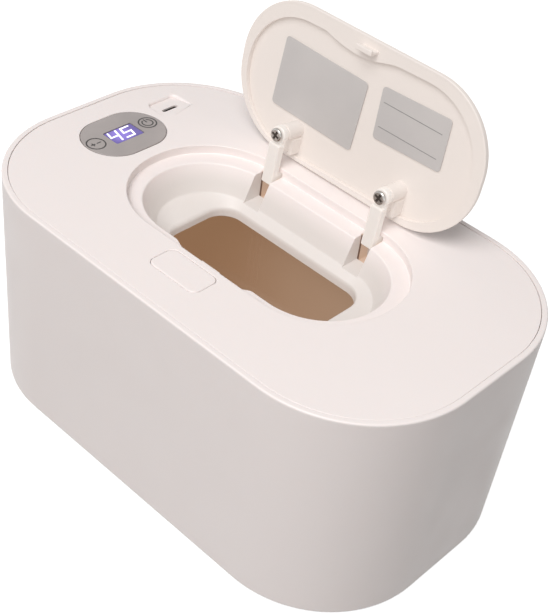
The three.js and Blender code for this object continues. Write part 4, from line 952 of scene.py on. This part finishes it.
def pocket_shade_sheet(side):
    """A tan sheet at the back of a slot, set a little behind the slot's white walls: painted shade with a
    painted glow. A brown strip along its edge is a painted shadow line.
    """
    low_x, high_x = slot_sides(side)
    low_x += HAIR - WELL_ROOM
    high_x -= HAIR
    floor = WELL_FLOOR + HAIR
    top = LEDGE - GAP
    front = WELL_FRONT + GAP * 2
    shade_sheet = block((low_x, front, floor), (high_x, SHADE_SHEET_BACK, top), SHADE_SHEET_ROUND)
    start = low_x + SHADE_SHEET_WALL
    carve(shade_sheet, block(
        (start, front - OVERRUN, WELL_FLOOR + SHADE_SHEET_WALL),
        (high_x - SHADE_SHEET_WALL, SHADE_SHEET_BACK + OVERRUN, top + OVERRUN),
    ))
    near, far = front - SHADOW_LINE_WIDTH, front + SHADOW_LINE_WIDTH
    edge = block((start, near, floor), (start + SHADOW_LINE_WIDTH, far, top))
    unite(edge, block(
        (start, near, floor), (high_x - SHADE_SHEET_WALL, far, WELL_FLOOR + SHADE_SHEET_WALL + SHADOW_LINE_WIDTH),
    ))
    finished(shade_sheet, f"pocket_shade_sheet_{SIDES[side]}", "cover", "tank_plastic", "pocket_painted_shade")
    finished(edge, f"pocket_shadow_line_{SIDES[side]}", "cover", "tank_plastic", "painted_shadow_brown")


def box_ring(low, high, corner, grow, z):
    """The rounded outline of a box seen from above, grown all round."""
    return (
        (high[0] - low[0]) / 2 + grow, (high[1] - low[1]) / 2 + grow, corner + grow, z,
        (low[0] + high[0]) / 2, (low[1] + high[1]) / 2,
    )


def sunk_face(low, high, corner, grow, z, steps=BUTTON_STEPS):
    return rounded_face(*box_ring(low, high, corner, grow, z), steps)


BUTTON_CORNER = 3
BUTTON_FLANGE = 0.7
BUTTON_GAP = 0.15
BUTTON_CAP_LOW = BUTTON_LOW + Vector((BUTTON_FLANGE, BUTTON_FLANGE, 0))
BUTTON_CAP_HIGH = BUTTON_HIGH - Vector((BUTTON_FLANGE, BUTTON_FLANGE, 0))
PANEL_CORNER = (PANEL_HIGH.x - PANEL_LOW.x) / 2
EDGE_ROUND = 0.3
INLET_CORNER = (INLET_HIGH.x - INLET_LOW.x) / 2
INLET_MIDDLE = (INLET_LOW + INLET_HIGH) / 2
INLET_POCKET_LOW = (INLET_MIDDLE.x - 7.2, INLET_MIDDLE.y - 6.1)
INLET_POCKET_HIGH = (INLET_MIDDLE.x + 4.6, INLET_MIDDLE.y + 8.4)
INLET_POCKET_CORNER = 2.5
INLET_POCKET_DEPTH = 1.5
INLET_ROUND = 1
INLET_BOSS = 2.4
RAMP_BLOCK = 20
DISPLAY_MARGIN = 1.5
DISPLAY_CORNER = 0.5
WINDOW_CORNER = 0.4
LATCH_WINDOW_HALF = 4.8
LATCH_WINDOW_REACH = 8
LATCH_WINDOW_HEIGHTS = (90.5, 92.5)


def inlet_face(grow, z):
    return sunk_face(INLET_POCKET_LOW, INLET_POCKET_HIGH, INLET_POCKET_CORNER, grow, z)


def inlet_ramp():
    """The inlet's pocket: a rounded well with a floor that rises to the panel's side."""
    low_x, low_y = INLET_POCKET_LOW
    high_x, high_y = INLET_POCKET_HIGH
    well = prism(inlet_face(INLET_ROUND, TOP), -INLET_POCKET_DEPTH * 2, INLET_ROUND)
    cap = prism(inlet_face(INLET_ROUND, TOP), OVERRUN)
    slope = math.atan2(INLET_POCKET_DEPTH, high_x - low_x)
    below = block((0, low_y - OVERRUN, -RAMP_BLOCK), (high_x - low_x + RAMP_BLOCK, high_y + OVERRUN, 0))
    foot = Matrix.Translation((low_x - OVERRUN, 0, TOP - INLET_POCKET_DEPTH))
    settle(below, foot @ Matrix.Rotation(-slope, 4, "Y"))
    carve(well, below)
    unite(well, cap)
    return well


def latch_window():
    low, high = LATCH_WINDOW_HEIGHTS
    return block(
        (-LATCH_WINDOW_HALF, SLIDER_HIGH.y - LATCH_WINDOW_REACH, low),
        (LATCH_WINDOW_HALF, NOTCH_FRONT + OVERRUN, high),
    )


def top_cover():
    body = cover_plate()
    notch_height = NOTCH_DEPTH - RECESS_DEPTH
    notch_shell = prism(notch_face(POCKET_WALL, LEDGE - GAP), -(notch_height + POCKET_WALL))
    boss = inlet_face(INLET_BOSS, UNDER + OVERRUN)
    unite(body, basin_shell(), notch_shell, prism(boss, -INLET_BOSS - OVERRUN))
    unite(body, *hinge_housing(1), *hinge_housing(-1))
    carve(body, basin_hollow())
    carve(body, prism(notch_face(0, LEDGE + OVERRUN), -(notch_height + OVERRUN)))
    carve(body, *hinge_cuts(1), *hinge_cuts(-1), latch_window())
    button = sunk_face(BUTTON_CAP_LOW, BUTTON_CAP_HIGH, BUTTON_CORNER, BUTTON_GAP + EDGE_ROUND, TOP)
    carve(body, prism(button, -COVER_PLATE - OVERRUN, EDGE_ROUND, FEW_STEPS))
    panel = sunk_face(PANEL_LOW, PANEL_HIGH, PANEL_CORNER, GAP + EDGE_ROUND / 2, TOP, CORNER_STEPS)
    carve(body, prism(panel, PANEL_LOW.z - GAP - TOP, EDGE_ROUND / 2, FEWEST_STEPS))
    display = sunk_face(WINDOW_LOW, WINDOW_HIGH, DISPLAY_CORNER, DISPLAY_MARGIN, TOP, FEWEST_STEPS)
    carve(body, prism(display, -COVER_PLATE - OVERRUN))
    carve(body, inlet_ramp())
    inlet = sunk_face(INLET_LOW, INLET_HIGH, INLET_CORNER, HAIR - SOCKET_TRIM, TOP + OVERRUN)
    carve(body, prism(inlet, -COVER_PLATE - INLET_BOSS - OVERRUN * 3))
    finished(body, "cover_plate", "cover", "shell_plastic", "basin_painted_shade", "top_cover")


# The lid and what swings with it, shaped closed and turned open.
def lid_ring(inset, z):
    return LID_HALF_X - inset, LID_HALF_Y - inset, LID_CORNER - inset, z, LID_PLACE_X, LID_SHIFT


TAB_REACH = 5.2
TAB_LENGTH = 6.6
TAB_THICKNESS = 1.7
TAB_ROUND = 0.25
TAB_PLACE = Vector((1.4, 20.7))


def lid_tab(side, grow, low, high):
    x, y = TAB_PLACE + Vector((side * ARM_X, 0))
    return block(
        (x - grow, y - grow, low), (x + TAB_THICKNESS + grow, y + TAB_LENGTH + grow, high), TAB_ROUND,
    )


def lid_shell():
    low = TOP - LID_DEPTH
    plate = TOP - LID_PLATE
    body = loft(profile(
        lid_ring,
        (LID_LIP / 2, low, 0),
        (0, low, LID_LIP / 3),
        (0, TOP, LID_ROUND),
        (LID_ROUND * 2, TOP, 0),
    ))
    hollow = loft(profile(
        lid_ring,
        (LIP_CREST, low - OVERRUN, 0),
        (LIP_CREST, low, 0),
        (LID_LIP, low, LIP_EASE),
        (LID_LIP, plate, GAP),
        (LID_LIP + GAP, plate, 0),
    ))
    carve(body, hollow)
    boss_low = ARM_FLOOR + ARM_THICKNESS + GAP
    root = plate + LID_PLATE / 2
    for side in SIDES:
        x = side * ARM_X
        boss = rod(ARM_HEAD, (x, SCREW_Y, boss_low), (x, SCREW_Y, root), BOSS_ROUND)
        unite(body, boss, lid_tab(side, 0, plate - TAB_REACH, root))
        low_end, high_end = (x, SCREW_Y, boss_low - OVERRUN), (x, SCREW_Y, plate - GAP)
        carve(body, rod(PIN_RADIUS + GAP, low_end, high_end, segments=SLIM_SEGMENTS))
    finished(body, "flip_lid", "lid", "shell_plastic", "lid_painted_glow", "lid_shell")


def frame_hole(z):
    """The frame's inner line, with the dip behind the catch."""
    front = LID_SHIFT - LID_HALF_Y + FRAME_INNER
    back = LID_SHIFT + LID_HALF_Y - FRAME_BACK
    half_y = (back - front) / 2
    face = rounded_face(
        LID_HALF_X - FRAME_END, half_y, half_y - OVERRUN, z, LID_PLACE_X + FRAME_SHIFT, (front + back) / 2,
    )

    def in_front(vertex):
        return abs(vertex.co.y - front) < GAP / 10

    divide_edges(face, lambda edge: all(map(in_front, edge.verts)) and edge.calc_length() > DIP_HALF)
    for vertex in face.data.vertices:
        share = (vertex.co.x - DIP_PLACE) / DIP_HALF
        if in_front(vertex) and abs(share) < 1:
            rise = 1 - share * share if share < 0 else (1 + math.cos(math.pi * share)) / 2
            vertex.co.y += DIP_DEPTH * rise
    settle(face, Matrix.Rotation(FRAME_TURN, 4, "Z"))
    return face


CATCH_ENDS = (-4.5, 3)
CATCH_FRONT = -27.6
CATCH_THICKNESS = 1.2
CATCH_LOW = 89.2
CATCH_ROUND = 0.4
TOOTH_REACH = 0.9
TOOTH_HEIGHT = 1.3


def lid_inner_frame():
    low, high = FRAME_LOW - OVERRUN, FRAME_HIGH + OVERRUN
    body = loft([lid_ring(FRAME_OUTER, FRAME_LOW), lid_ring(FRAME_OUTER, FRAME_HIGH)])
    hole = prism(frame_hole(low), FRAME_HIGH - FRAME_LOW + OVERRUN * 2)
    carve(body, hole)
    carve(body, *[lid_tab(side, GAP, low, high) for side in SIDES])
    catch = block(
        (CATCH_ENDS[0], CATCH_FRONT, CATCH_LOW),
        (CATCH_ENDS[1], CATCH_FRONT + CATCH_THICKNESS, FRAME_LOW + GAP), CATCH_ROUND,
    )
    tooth = block(
        (CATCH_ENDS[0], CATCH_FRONT - TOOTH_REACH, CATCH_LOW),
        (CATCH_ENDS[1], CATCH_FRONT + GAP * 2, CATCH_LOW + TOOTH_HEIGHT), CATCH_ROUND,
    )
    unite(body, catch, tooth)
    soften(body, FRAME_ROUND, FEW_STEPS)
    finished(body, "lid_frame", "lid", "shell_plastic", "lid_painted_glow", "lid_inner_frame")


# Places and half sizes of the labels, and how many degrees each is turned.
LABELS = {
    "left": ((-19.9, -0.3), (20.65, 14.3), 2),
    "right": ((23.9, -6.35), (15.75, 10.4), -2),
}
LABEL_CORNER = 1.6
LABEL_THICKNESS = 0.3
LABEL_ROUND = 0.08
LABEL_LOW = TOP - LID_PLATE - GAP - LABEL_THICKNESS
# Each rule's start along X, its place along Y and its end along X.
RULES = ((9.7, -10.5, 36.8), (9.9, -0.8, 37.2))
RULE_WIDTH = 0.28
RULE_HEIGHT = 0.04


def label_plate(side):
    place, half, turn = LABELS[side]
    plate = prism(rounded_face(*half, LABEL_CORNER, 0, steps=LABEL_STEPS), LABEL_THICKNESS)
    soften(plate, LABEL_ROUND)
    settle(plate, Matrix.Translation((*place, LABEL_LOW)) @ Matrix.Rotation(math.radians(turn), 4, "Z"))
    finished(plate, f"silver_label_{side}", "lid", "label_silver", "lit_label", f"label_plate_{side}")


def label_rules():
    """Two plain rules across the right label."""
    for number, (start, y, end) in enumerate(RULES, 1):
        low, high = (start, y, LABEL_LOW - RULE_HEIGHT), (end, y + RULE_WIDTH, LABEL_LOW + RULE_HEIGHT)
        rule = block(low, high, RULE_HEIGHT / 2)
        finished(rule, f"label_rule_{number}", "lid", "label_silver", "rule_ink")


def hinge_arms():
    half = BAR_HALF - GAP
    back = PIVOT.y + EYELET
    top = ARM_FLOOR + ARM_THICKNESS
    slim = BAR_HALF - GAP / 2
    past = BAR_HALF + OVERRUN
    bore = PIN_RADIUS + GAP
    arm = block((-BAR_HALF, BAR_SHOULDER, BAR_LOW), (BAR_HALF, back - GAP, BAR_HIGH), ARM_ROUND)
    unite(
        arm,
        block((-half, SCREW_Y, ARM_FLOOR + GAP), (half, BAR_SHOULDER + OVERRUN, top - GAP), ARM_ROUND),
        block((-slim, back - ARM_NECK, BAR_LOW + GAP), (slim, back - GAP / 2, PIVOT.z - GAP), ARM_ROUND),
        rod(EYELET, (-BAR_HALF, PIVOT.y, PIVOT.z), (BAR_HALF, PIVOT.y, PIVOT.z), GAP),
        rod(ARM_HEAD, (0, SCREW_Y, ARM_FLOOR - GAP / 3), (0, SCREW_Y, top + GAP / 3), ARM_ROUND),
    )
    carve(
        arm,
        rod(bore, (-past, PIVOT.y, PIVOT.z), (past, PIVOT.y, PIVOT.z), segments=BORE_SEGMENTS),
        rod(bore, (0, SCREW_Y, ARM_FLOOR - OVERRUN), (0, SCREW_Y, top + OVERRUN), segments=BORE_SEGMENTS),
    )
    for side, label in SIDES.items():
        piece = copy_of(arm)
        settle(piece, Matrix.Translation((side * ARM_X, 0, 0)))
        finished(piece, f"goose_neck_{label}", "lid", "milky_nylon", "milky_arm", f"hinge_arm_{label}")
    bpy.data.objects.remove(arm)


HEAD_RADIUS = 2.72
HEAD_HEIGHT = 1.4
HEAD_ROUND = 0.9
SCREW_REACH = 8.1
DRIVE_WIDTH = 1
DRIVE_REACH = HEAD_RADIUS * 0.66
DRIVE_DEPTH = 0.9
DRIVE_TURN = math.radians(20)
SHADE_SHARE = 0.2


def drive_cross(low, high, grow):
    """The cross of the screw's drive."""
    arm, half = DRIVE_REACH + grow, DRIVE_WIDTH / 2 + grow
    cross = bar(arm, 0, half, low, high)
    unite(cross, bar(half, 0, arm, low, high))
    settle(cross, Matrix.Rotation(DRIVE_TURN, 4, "Z"))
    return cross


def arm_screws():
    low = ARM_FLOOR - GAP - HEAD_HEIGHT
    head = rod(HEAD_RADIUS, (0, 0, low), (0, 0, low + HEAD_HEIGHT))
    soften(head, HEAD_ROUND, ROUND_STEPS)
    start, end = (0, 0, low + HEAD_HEIGHT / 2), (0, 0, low + HEAD_HEIGHT + SCREW_REACH)
    unite(head, rod(PIN_RADIUS, start, end, segments=BORE_SEGMENTS))
    carve(head, drive_cross(low - OVERRUN, low + DRIVE_DEPTH, 0))
    # A dark cross set into the drive is painted shade for the recess's depth.
    shade = drive_cross(low + DRIVE_DEPTH * SHADE_SHARE, low + DRIVE_DEPTH + GAP / 3, GAP / 10)
    for side, label in SIDES.items():
        piece, dark = copy_of(head), copy_of(shade)
        for part in (piece, dark):
            settle(part, Matrix.Translation((side * ARM_X, SCREW_Y, 0)))
        finished(piece, f"chrome_screw_{label}", "lid", "chrome", "chrome_screw", f"arm_screw_{label}")
        finished(dark, f"screw_painted_shade_{label}", "lid", "chrome", "painted_shade_dark")
    bpy.data.objects.remove(head)
    bpy.data.objects.remove(shade)


# The release button.
BUTTON_ROUND = 0.6
BUTTON_CAP = 1.8
BUTTON_WALL = 1.2
FLANGE_HEIGHT = 1.2
FLANGE_TOP = 94.9
CHANNEL_ROOM = 2.3


def button_ring(out, z):
    return box_ring(BUTTON_CAP_LOW, BUTTON_CAP_HIGH, BUTTON_CORNER, out, z)


def release_button():
    top = BUTTON_HIGH.z
    foot = FLANGE_TOP - FLANGE_HEIGHT
    body = loft(profile(
        button_ring,
        (BUTTON_FLANGE, foot, 0),
        (BUTTON_FLANGE, FLANGE_TOP, GAP),
        (0, FLANGE_TOP, 0),
        (0, top, BUTTON_ROUND),
        (-BUTTON_ROUND * 2, top, 0),
    ), BUTTON_STEPS)
    hollow = loft([
        button_ring(-BUTTON_WALL, foot - OVERRUN),
        button_ring(-BUTTON_WALL, top - BUTTON_CAP),
    ], BUTTON_STEPS)
    carve(body, hollow)
    channel = SLIDER_HIGH.x + GAP
    carve(body, block(
        (-channel, BUTTON_LOW.y - OVERRUN, foot - OVERRUN),
        (channel, BUTTON_HIGH.y + OVERRUN, SLIDER_HIGH.z + CHANNEL_ROOM),
    ))
    finished(body, "button_cap", "button", "shell_plastic", "satin_shell", "release_button")


# The control panel, its window and its touch marks.
PANEL_ROUND = 0.35
LENS_ROUND = 0.1


def panel_ring(out, z):
    return box_ring(PANEL_LOW, PANEL_HIGH, PANEL_CORNER, out, z)


def control_panel():
    top = PANEL_HIGH.z
    body = loft(profile(
        panel_ring,
        (0, PANEL_LOW.z, 0),
        (0, top, PANEL_ROUND),
        (-PANEL_ROUND * 2, top, 0),
    ))
    window = sunk_face(WINDOW_LOW, WINDOW_HIGH, WINDOW_CORNER, GAP, top + OVERRUN, FEW_STEPS)
    carve(body, prism(window, -OVERRUN * 3))
    finished(body, "touch_panel", "cover", "panel_grey", "panel_grey", "control_panel")


def display_window():
    face = sunk_face(WINDOW_LOW, WINDOW_HIGH, WINDOW_CORNER, 0, WINDOW_LOW.z, FEW_STEPS)
    lens = prism(face, WINDOW_HIGH.z - WINDOW_LOW.z)
    soften(lens, LENS_ROUND)
    finished(lens, "lit_window", "cover", "display_violet", "lit_window", "display_window")


# Strokes of a lit digit, from corner to corner of the digit, as shares of its half width and half height.
STROKES = {
    "top": ((-1, 1), (1, 1)),
    "upper_left": ((-1, 0), (-1, 1)),
    "upper_right": ((1, 0), (1, 1)),
    "middle": ((-1, 0), (1, 0)),
    "lower_right": ((1, -1), (1, 0)),
    "foot": ((-1, -1), (1, -1)),
}
DIGITS = {
    "four": ("upper_left", "upper_right", "middle", "lower_right"),
    "five": ("top", "upper_left", "middle", "lower_right", "foot"),
}
DIGIT_PLACES = {"four": (-78.8, -4.6, 0), "five": (-78.8, 1.8, 0)}
DIGIT_HALF_WIDTH = 1.9
DIGIT_HALF_HEIGHT = 3.1
DIGIT_STROKE = 0.85
DIGIT_LEAN = math.tan(math.radians(13))
MARK_HEIGHT = 0.08
MARK_PROUD = 0.02


def lit_digit_piece(name):
    """A lit digit on the window, read from the front of the cover with its top towards the left end."""
    top = WINDOW_HIGH.z + MARK_PROUD
    half = DIGIT_STROKE / 2
    strokes = []
    for stroke in DIGITS[name]:
        (left, low), (right, high) = STROKES[stroke]
        strokes.append(block(
            (-high * DIGIT_HALF_HEIGHT - half, left * DIGIT_HALF_WIDTH - half, top - MARK_HEIGHT),
            (-low * DIGIT_HALF_HEIGHT + half, right * DIGIT_HALF_WIDTH + half, top),
        ))
    digit = strokes.pop()
    unite(digit, *strokes)
    for vertex in digit.data.vertices:
        vertex.co.y -= vertex.co.x * DIGIT_LEAN
    settle(digit, Matrix.Translation(DIGIT_PLACES[name]))
    finished(digit, f"lit_digit_{name}", "cover", "display_violet", "lit_digit")


# Places and radii of the two touch marks.
TOUCH_LEFT = ((-79.0, -14.1, 0), 3.76)
TOUCH_RIGHT = ((-78.9, 12.5, 0), 3.64)
RING_LINE = 0.6
POWER_RADIUS = 2.2
POWER_MOUTH = 0.85
STEM_END = POWER_RADIUS * 0.15
MARK_LINE = 0.58
SIGN_REACH = 1.05
SIGN_SPREAD = 1.4


def ring_mark(radius, line, low, high):
    ring = rod(radius + line / 2, (0, 0, low), (0, 0, high), segments=RING_SEGMENTS)
    low_end, high_end = (0, 0, low - OVERRUN), (0, 0, high + OVERRUN)
    carve(ring, rod(radius - line / 2, low_end, high_end, segments=RING_SEGMENTS))
    return ring


def touch_mark(touch, name, inner):
    """A ring printed on the panel with its sign inside."""
    place, radius = touch
    high = PANEL_HIGH.z + MARK_PROUD
    low = high - MARK_HEIGHT
    ring = ring_mark(radius, RING_LINE, low, high)
    unite(ring, *inner(low, high))
    settle(ring, Matrix.Translation(place))
    finished(ring, name, "cover", "panel_grey", "touch_ink")


def power_sign(low, high):
    loop = ring_mark(POWER_RADIUS, MARK_LINE, low, high)
    reach = POWER_RADIUS + MARK_LINE
    carve(loop, block((-reach, -POWER_MOUTH, low - OVERRUN), (0, POWER_MOUTH, high + OVERRUN)))
    stem = block((-reach, -MARK_LINE / 2, low), (-STEM_END, MARK_LINE / 2, high))
    return loop, stem


def plus_and_minus(low, high):
    half = MARK_LINE / 2
    plus = bar(half, -SIGN_SPREAD, SIGN_REACH, low, high)
    plus_along = bar(SIGN_REACH, -SIGN_SPREAD, half, low, high)
    minus = bar(half, SIGN_SPREAD, SIGN_REACH, low, high)
    unite(plus, plus_along)
    return plus, minus


# The power inlet.
SOCKET_TRIM = 0.4
SOCKET_SHELL = 0.35
SOCKET_DEPTH = 6
SOCKET_CORE = 3.4
SOCKET_ROUND = 0.1
TONGUE_HALF_X = 0.3
TONGUE_HALF_Y = 2.9
TONGUE_DROP = 1
TONGUE_ROUND = 0.12


def socket_face(grow, z):
    return sunk_face(INLET_LOW, INLET_HIGH, INLET_CORNER, grow - SOCKET_TRIM, z, SOCKET_STEPS)


def power_inlet():
    low, high = INLET_LOW.z, INLET_HIGH.z
    floor = high - SOCKET_DEPTH
    shell = prism(socket_face(0, low), high - low)
    carve(shell, prism(socket_face(-SOCKET_SHELL, floor), SOCKET_DEPTH + OVERRUN))
    soften(shell, SOCKET_ROUND)
    # The steel shell is painted near black: painted shade in the socket's hole.
    finished(shell, "inlet_socket", "cover", "steel", "painted_shade_dark", "power_inlet")
    # The core that fills the socket's floor, with its tongue, is painted near black too: painted shade.
    core_low = floor + GAP / 3
    core = prism(socket_face(-SOCKET_SHELL - HAIR, core_low), SOCKET_CORE)
    x, y, _ = INLET_MIDDLE
    tongue = block(
        (x - TONGUE_HALF_X, y - TONGUE_HALF_Y, core_low + SOCKET_CORE / 2),
        (x + TONGUE_HALF_X, y + TONGUE_HALF_Y, high - TONGUE_DROP), TONGUE_ROUND,
    )
    unite(core, tongue)
    finished(core, "inlet_tongue", "cover", "steel", "socket_painted_shade")


outer_housing()
inner_tank()
top_cover()
lid_shell()
lid_inner_frame()
label_plate("left")
label_plate("right")
label_rules()
hinge_arms()
arm_screws()
release_button()
control_panel()
display_window()
lit_digit_piece("four")
lit_digit_piece("five")
touch_mark(TOUCH_LEFT, "touch_mark_left", plus_and_minus)
touch_mark(TOUCH_RIGHT, "touch_mark_right", power_sign)
power_inlet()
pocket_shade_sheet(1)
pocket_shade_sheet(-1)

# CAD nodes that keep their shape take a procedural finish by their kind.
KEPT = {
    "foam_sleeve": ("insulation_sleeve",),
    "satin_shell": ("base_plate", "under_cover"),
    "foot_rubber": ("rubber_foot",),
    "seal_silicone": ("cover_seal",),
    "spring_steel": (
        "base_screw", "under_cover_screw", "board_screw", "guide_screw", "touch_contact", "thermal_fuse",
        "hinge_pin", "torsion_spring", "latch_spring", "button_spring",
    ),
    "spreader_aluminium": ("heat_spreader",),
    "heater_amber": ("heater_film",),
    "display_black": ("display_module",),
    "board_green": ("control_board",),
    "wire_red": ("heater_lead_red",),
    "wire_black": ("heater_lead_black",),
    "sensor_epoxy": ("temperature_sensor",),
    # The latch's nylon parts take the arms' milky finish, with its painted glow.
    "milky_arm": ("latch_guide", "latch_slider"),
}
kept_finishes = {kind: finish for finish, kinds in KEPT.items() for kind in kinds}
for name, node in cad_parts.items():
    kinds = [kind for kind in kept_finishes if name.startswith(kind)]
    if kinds:
        node.data.materials.clear()
        node.data.materials.append(MATERIALS[kept_finishes[max(kinds, key=len)]])
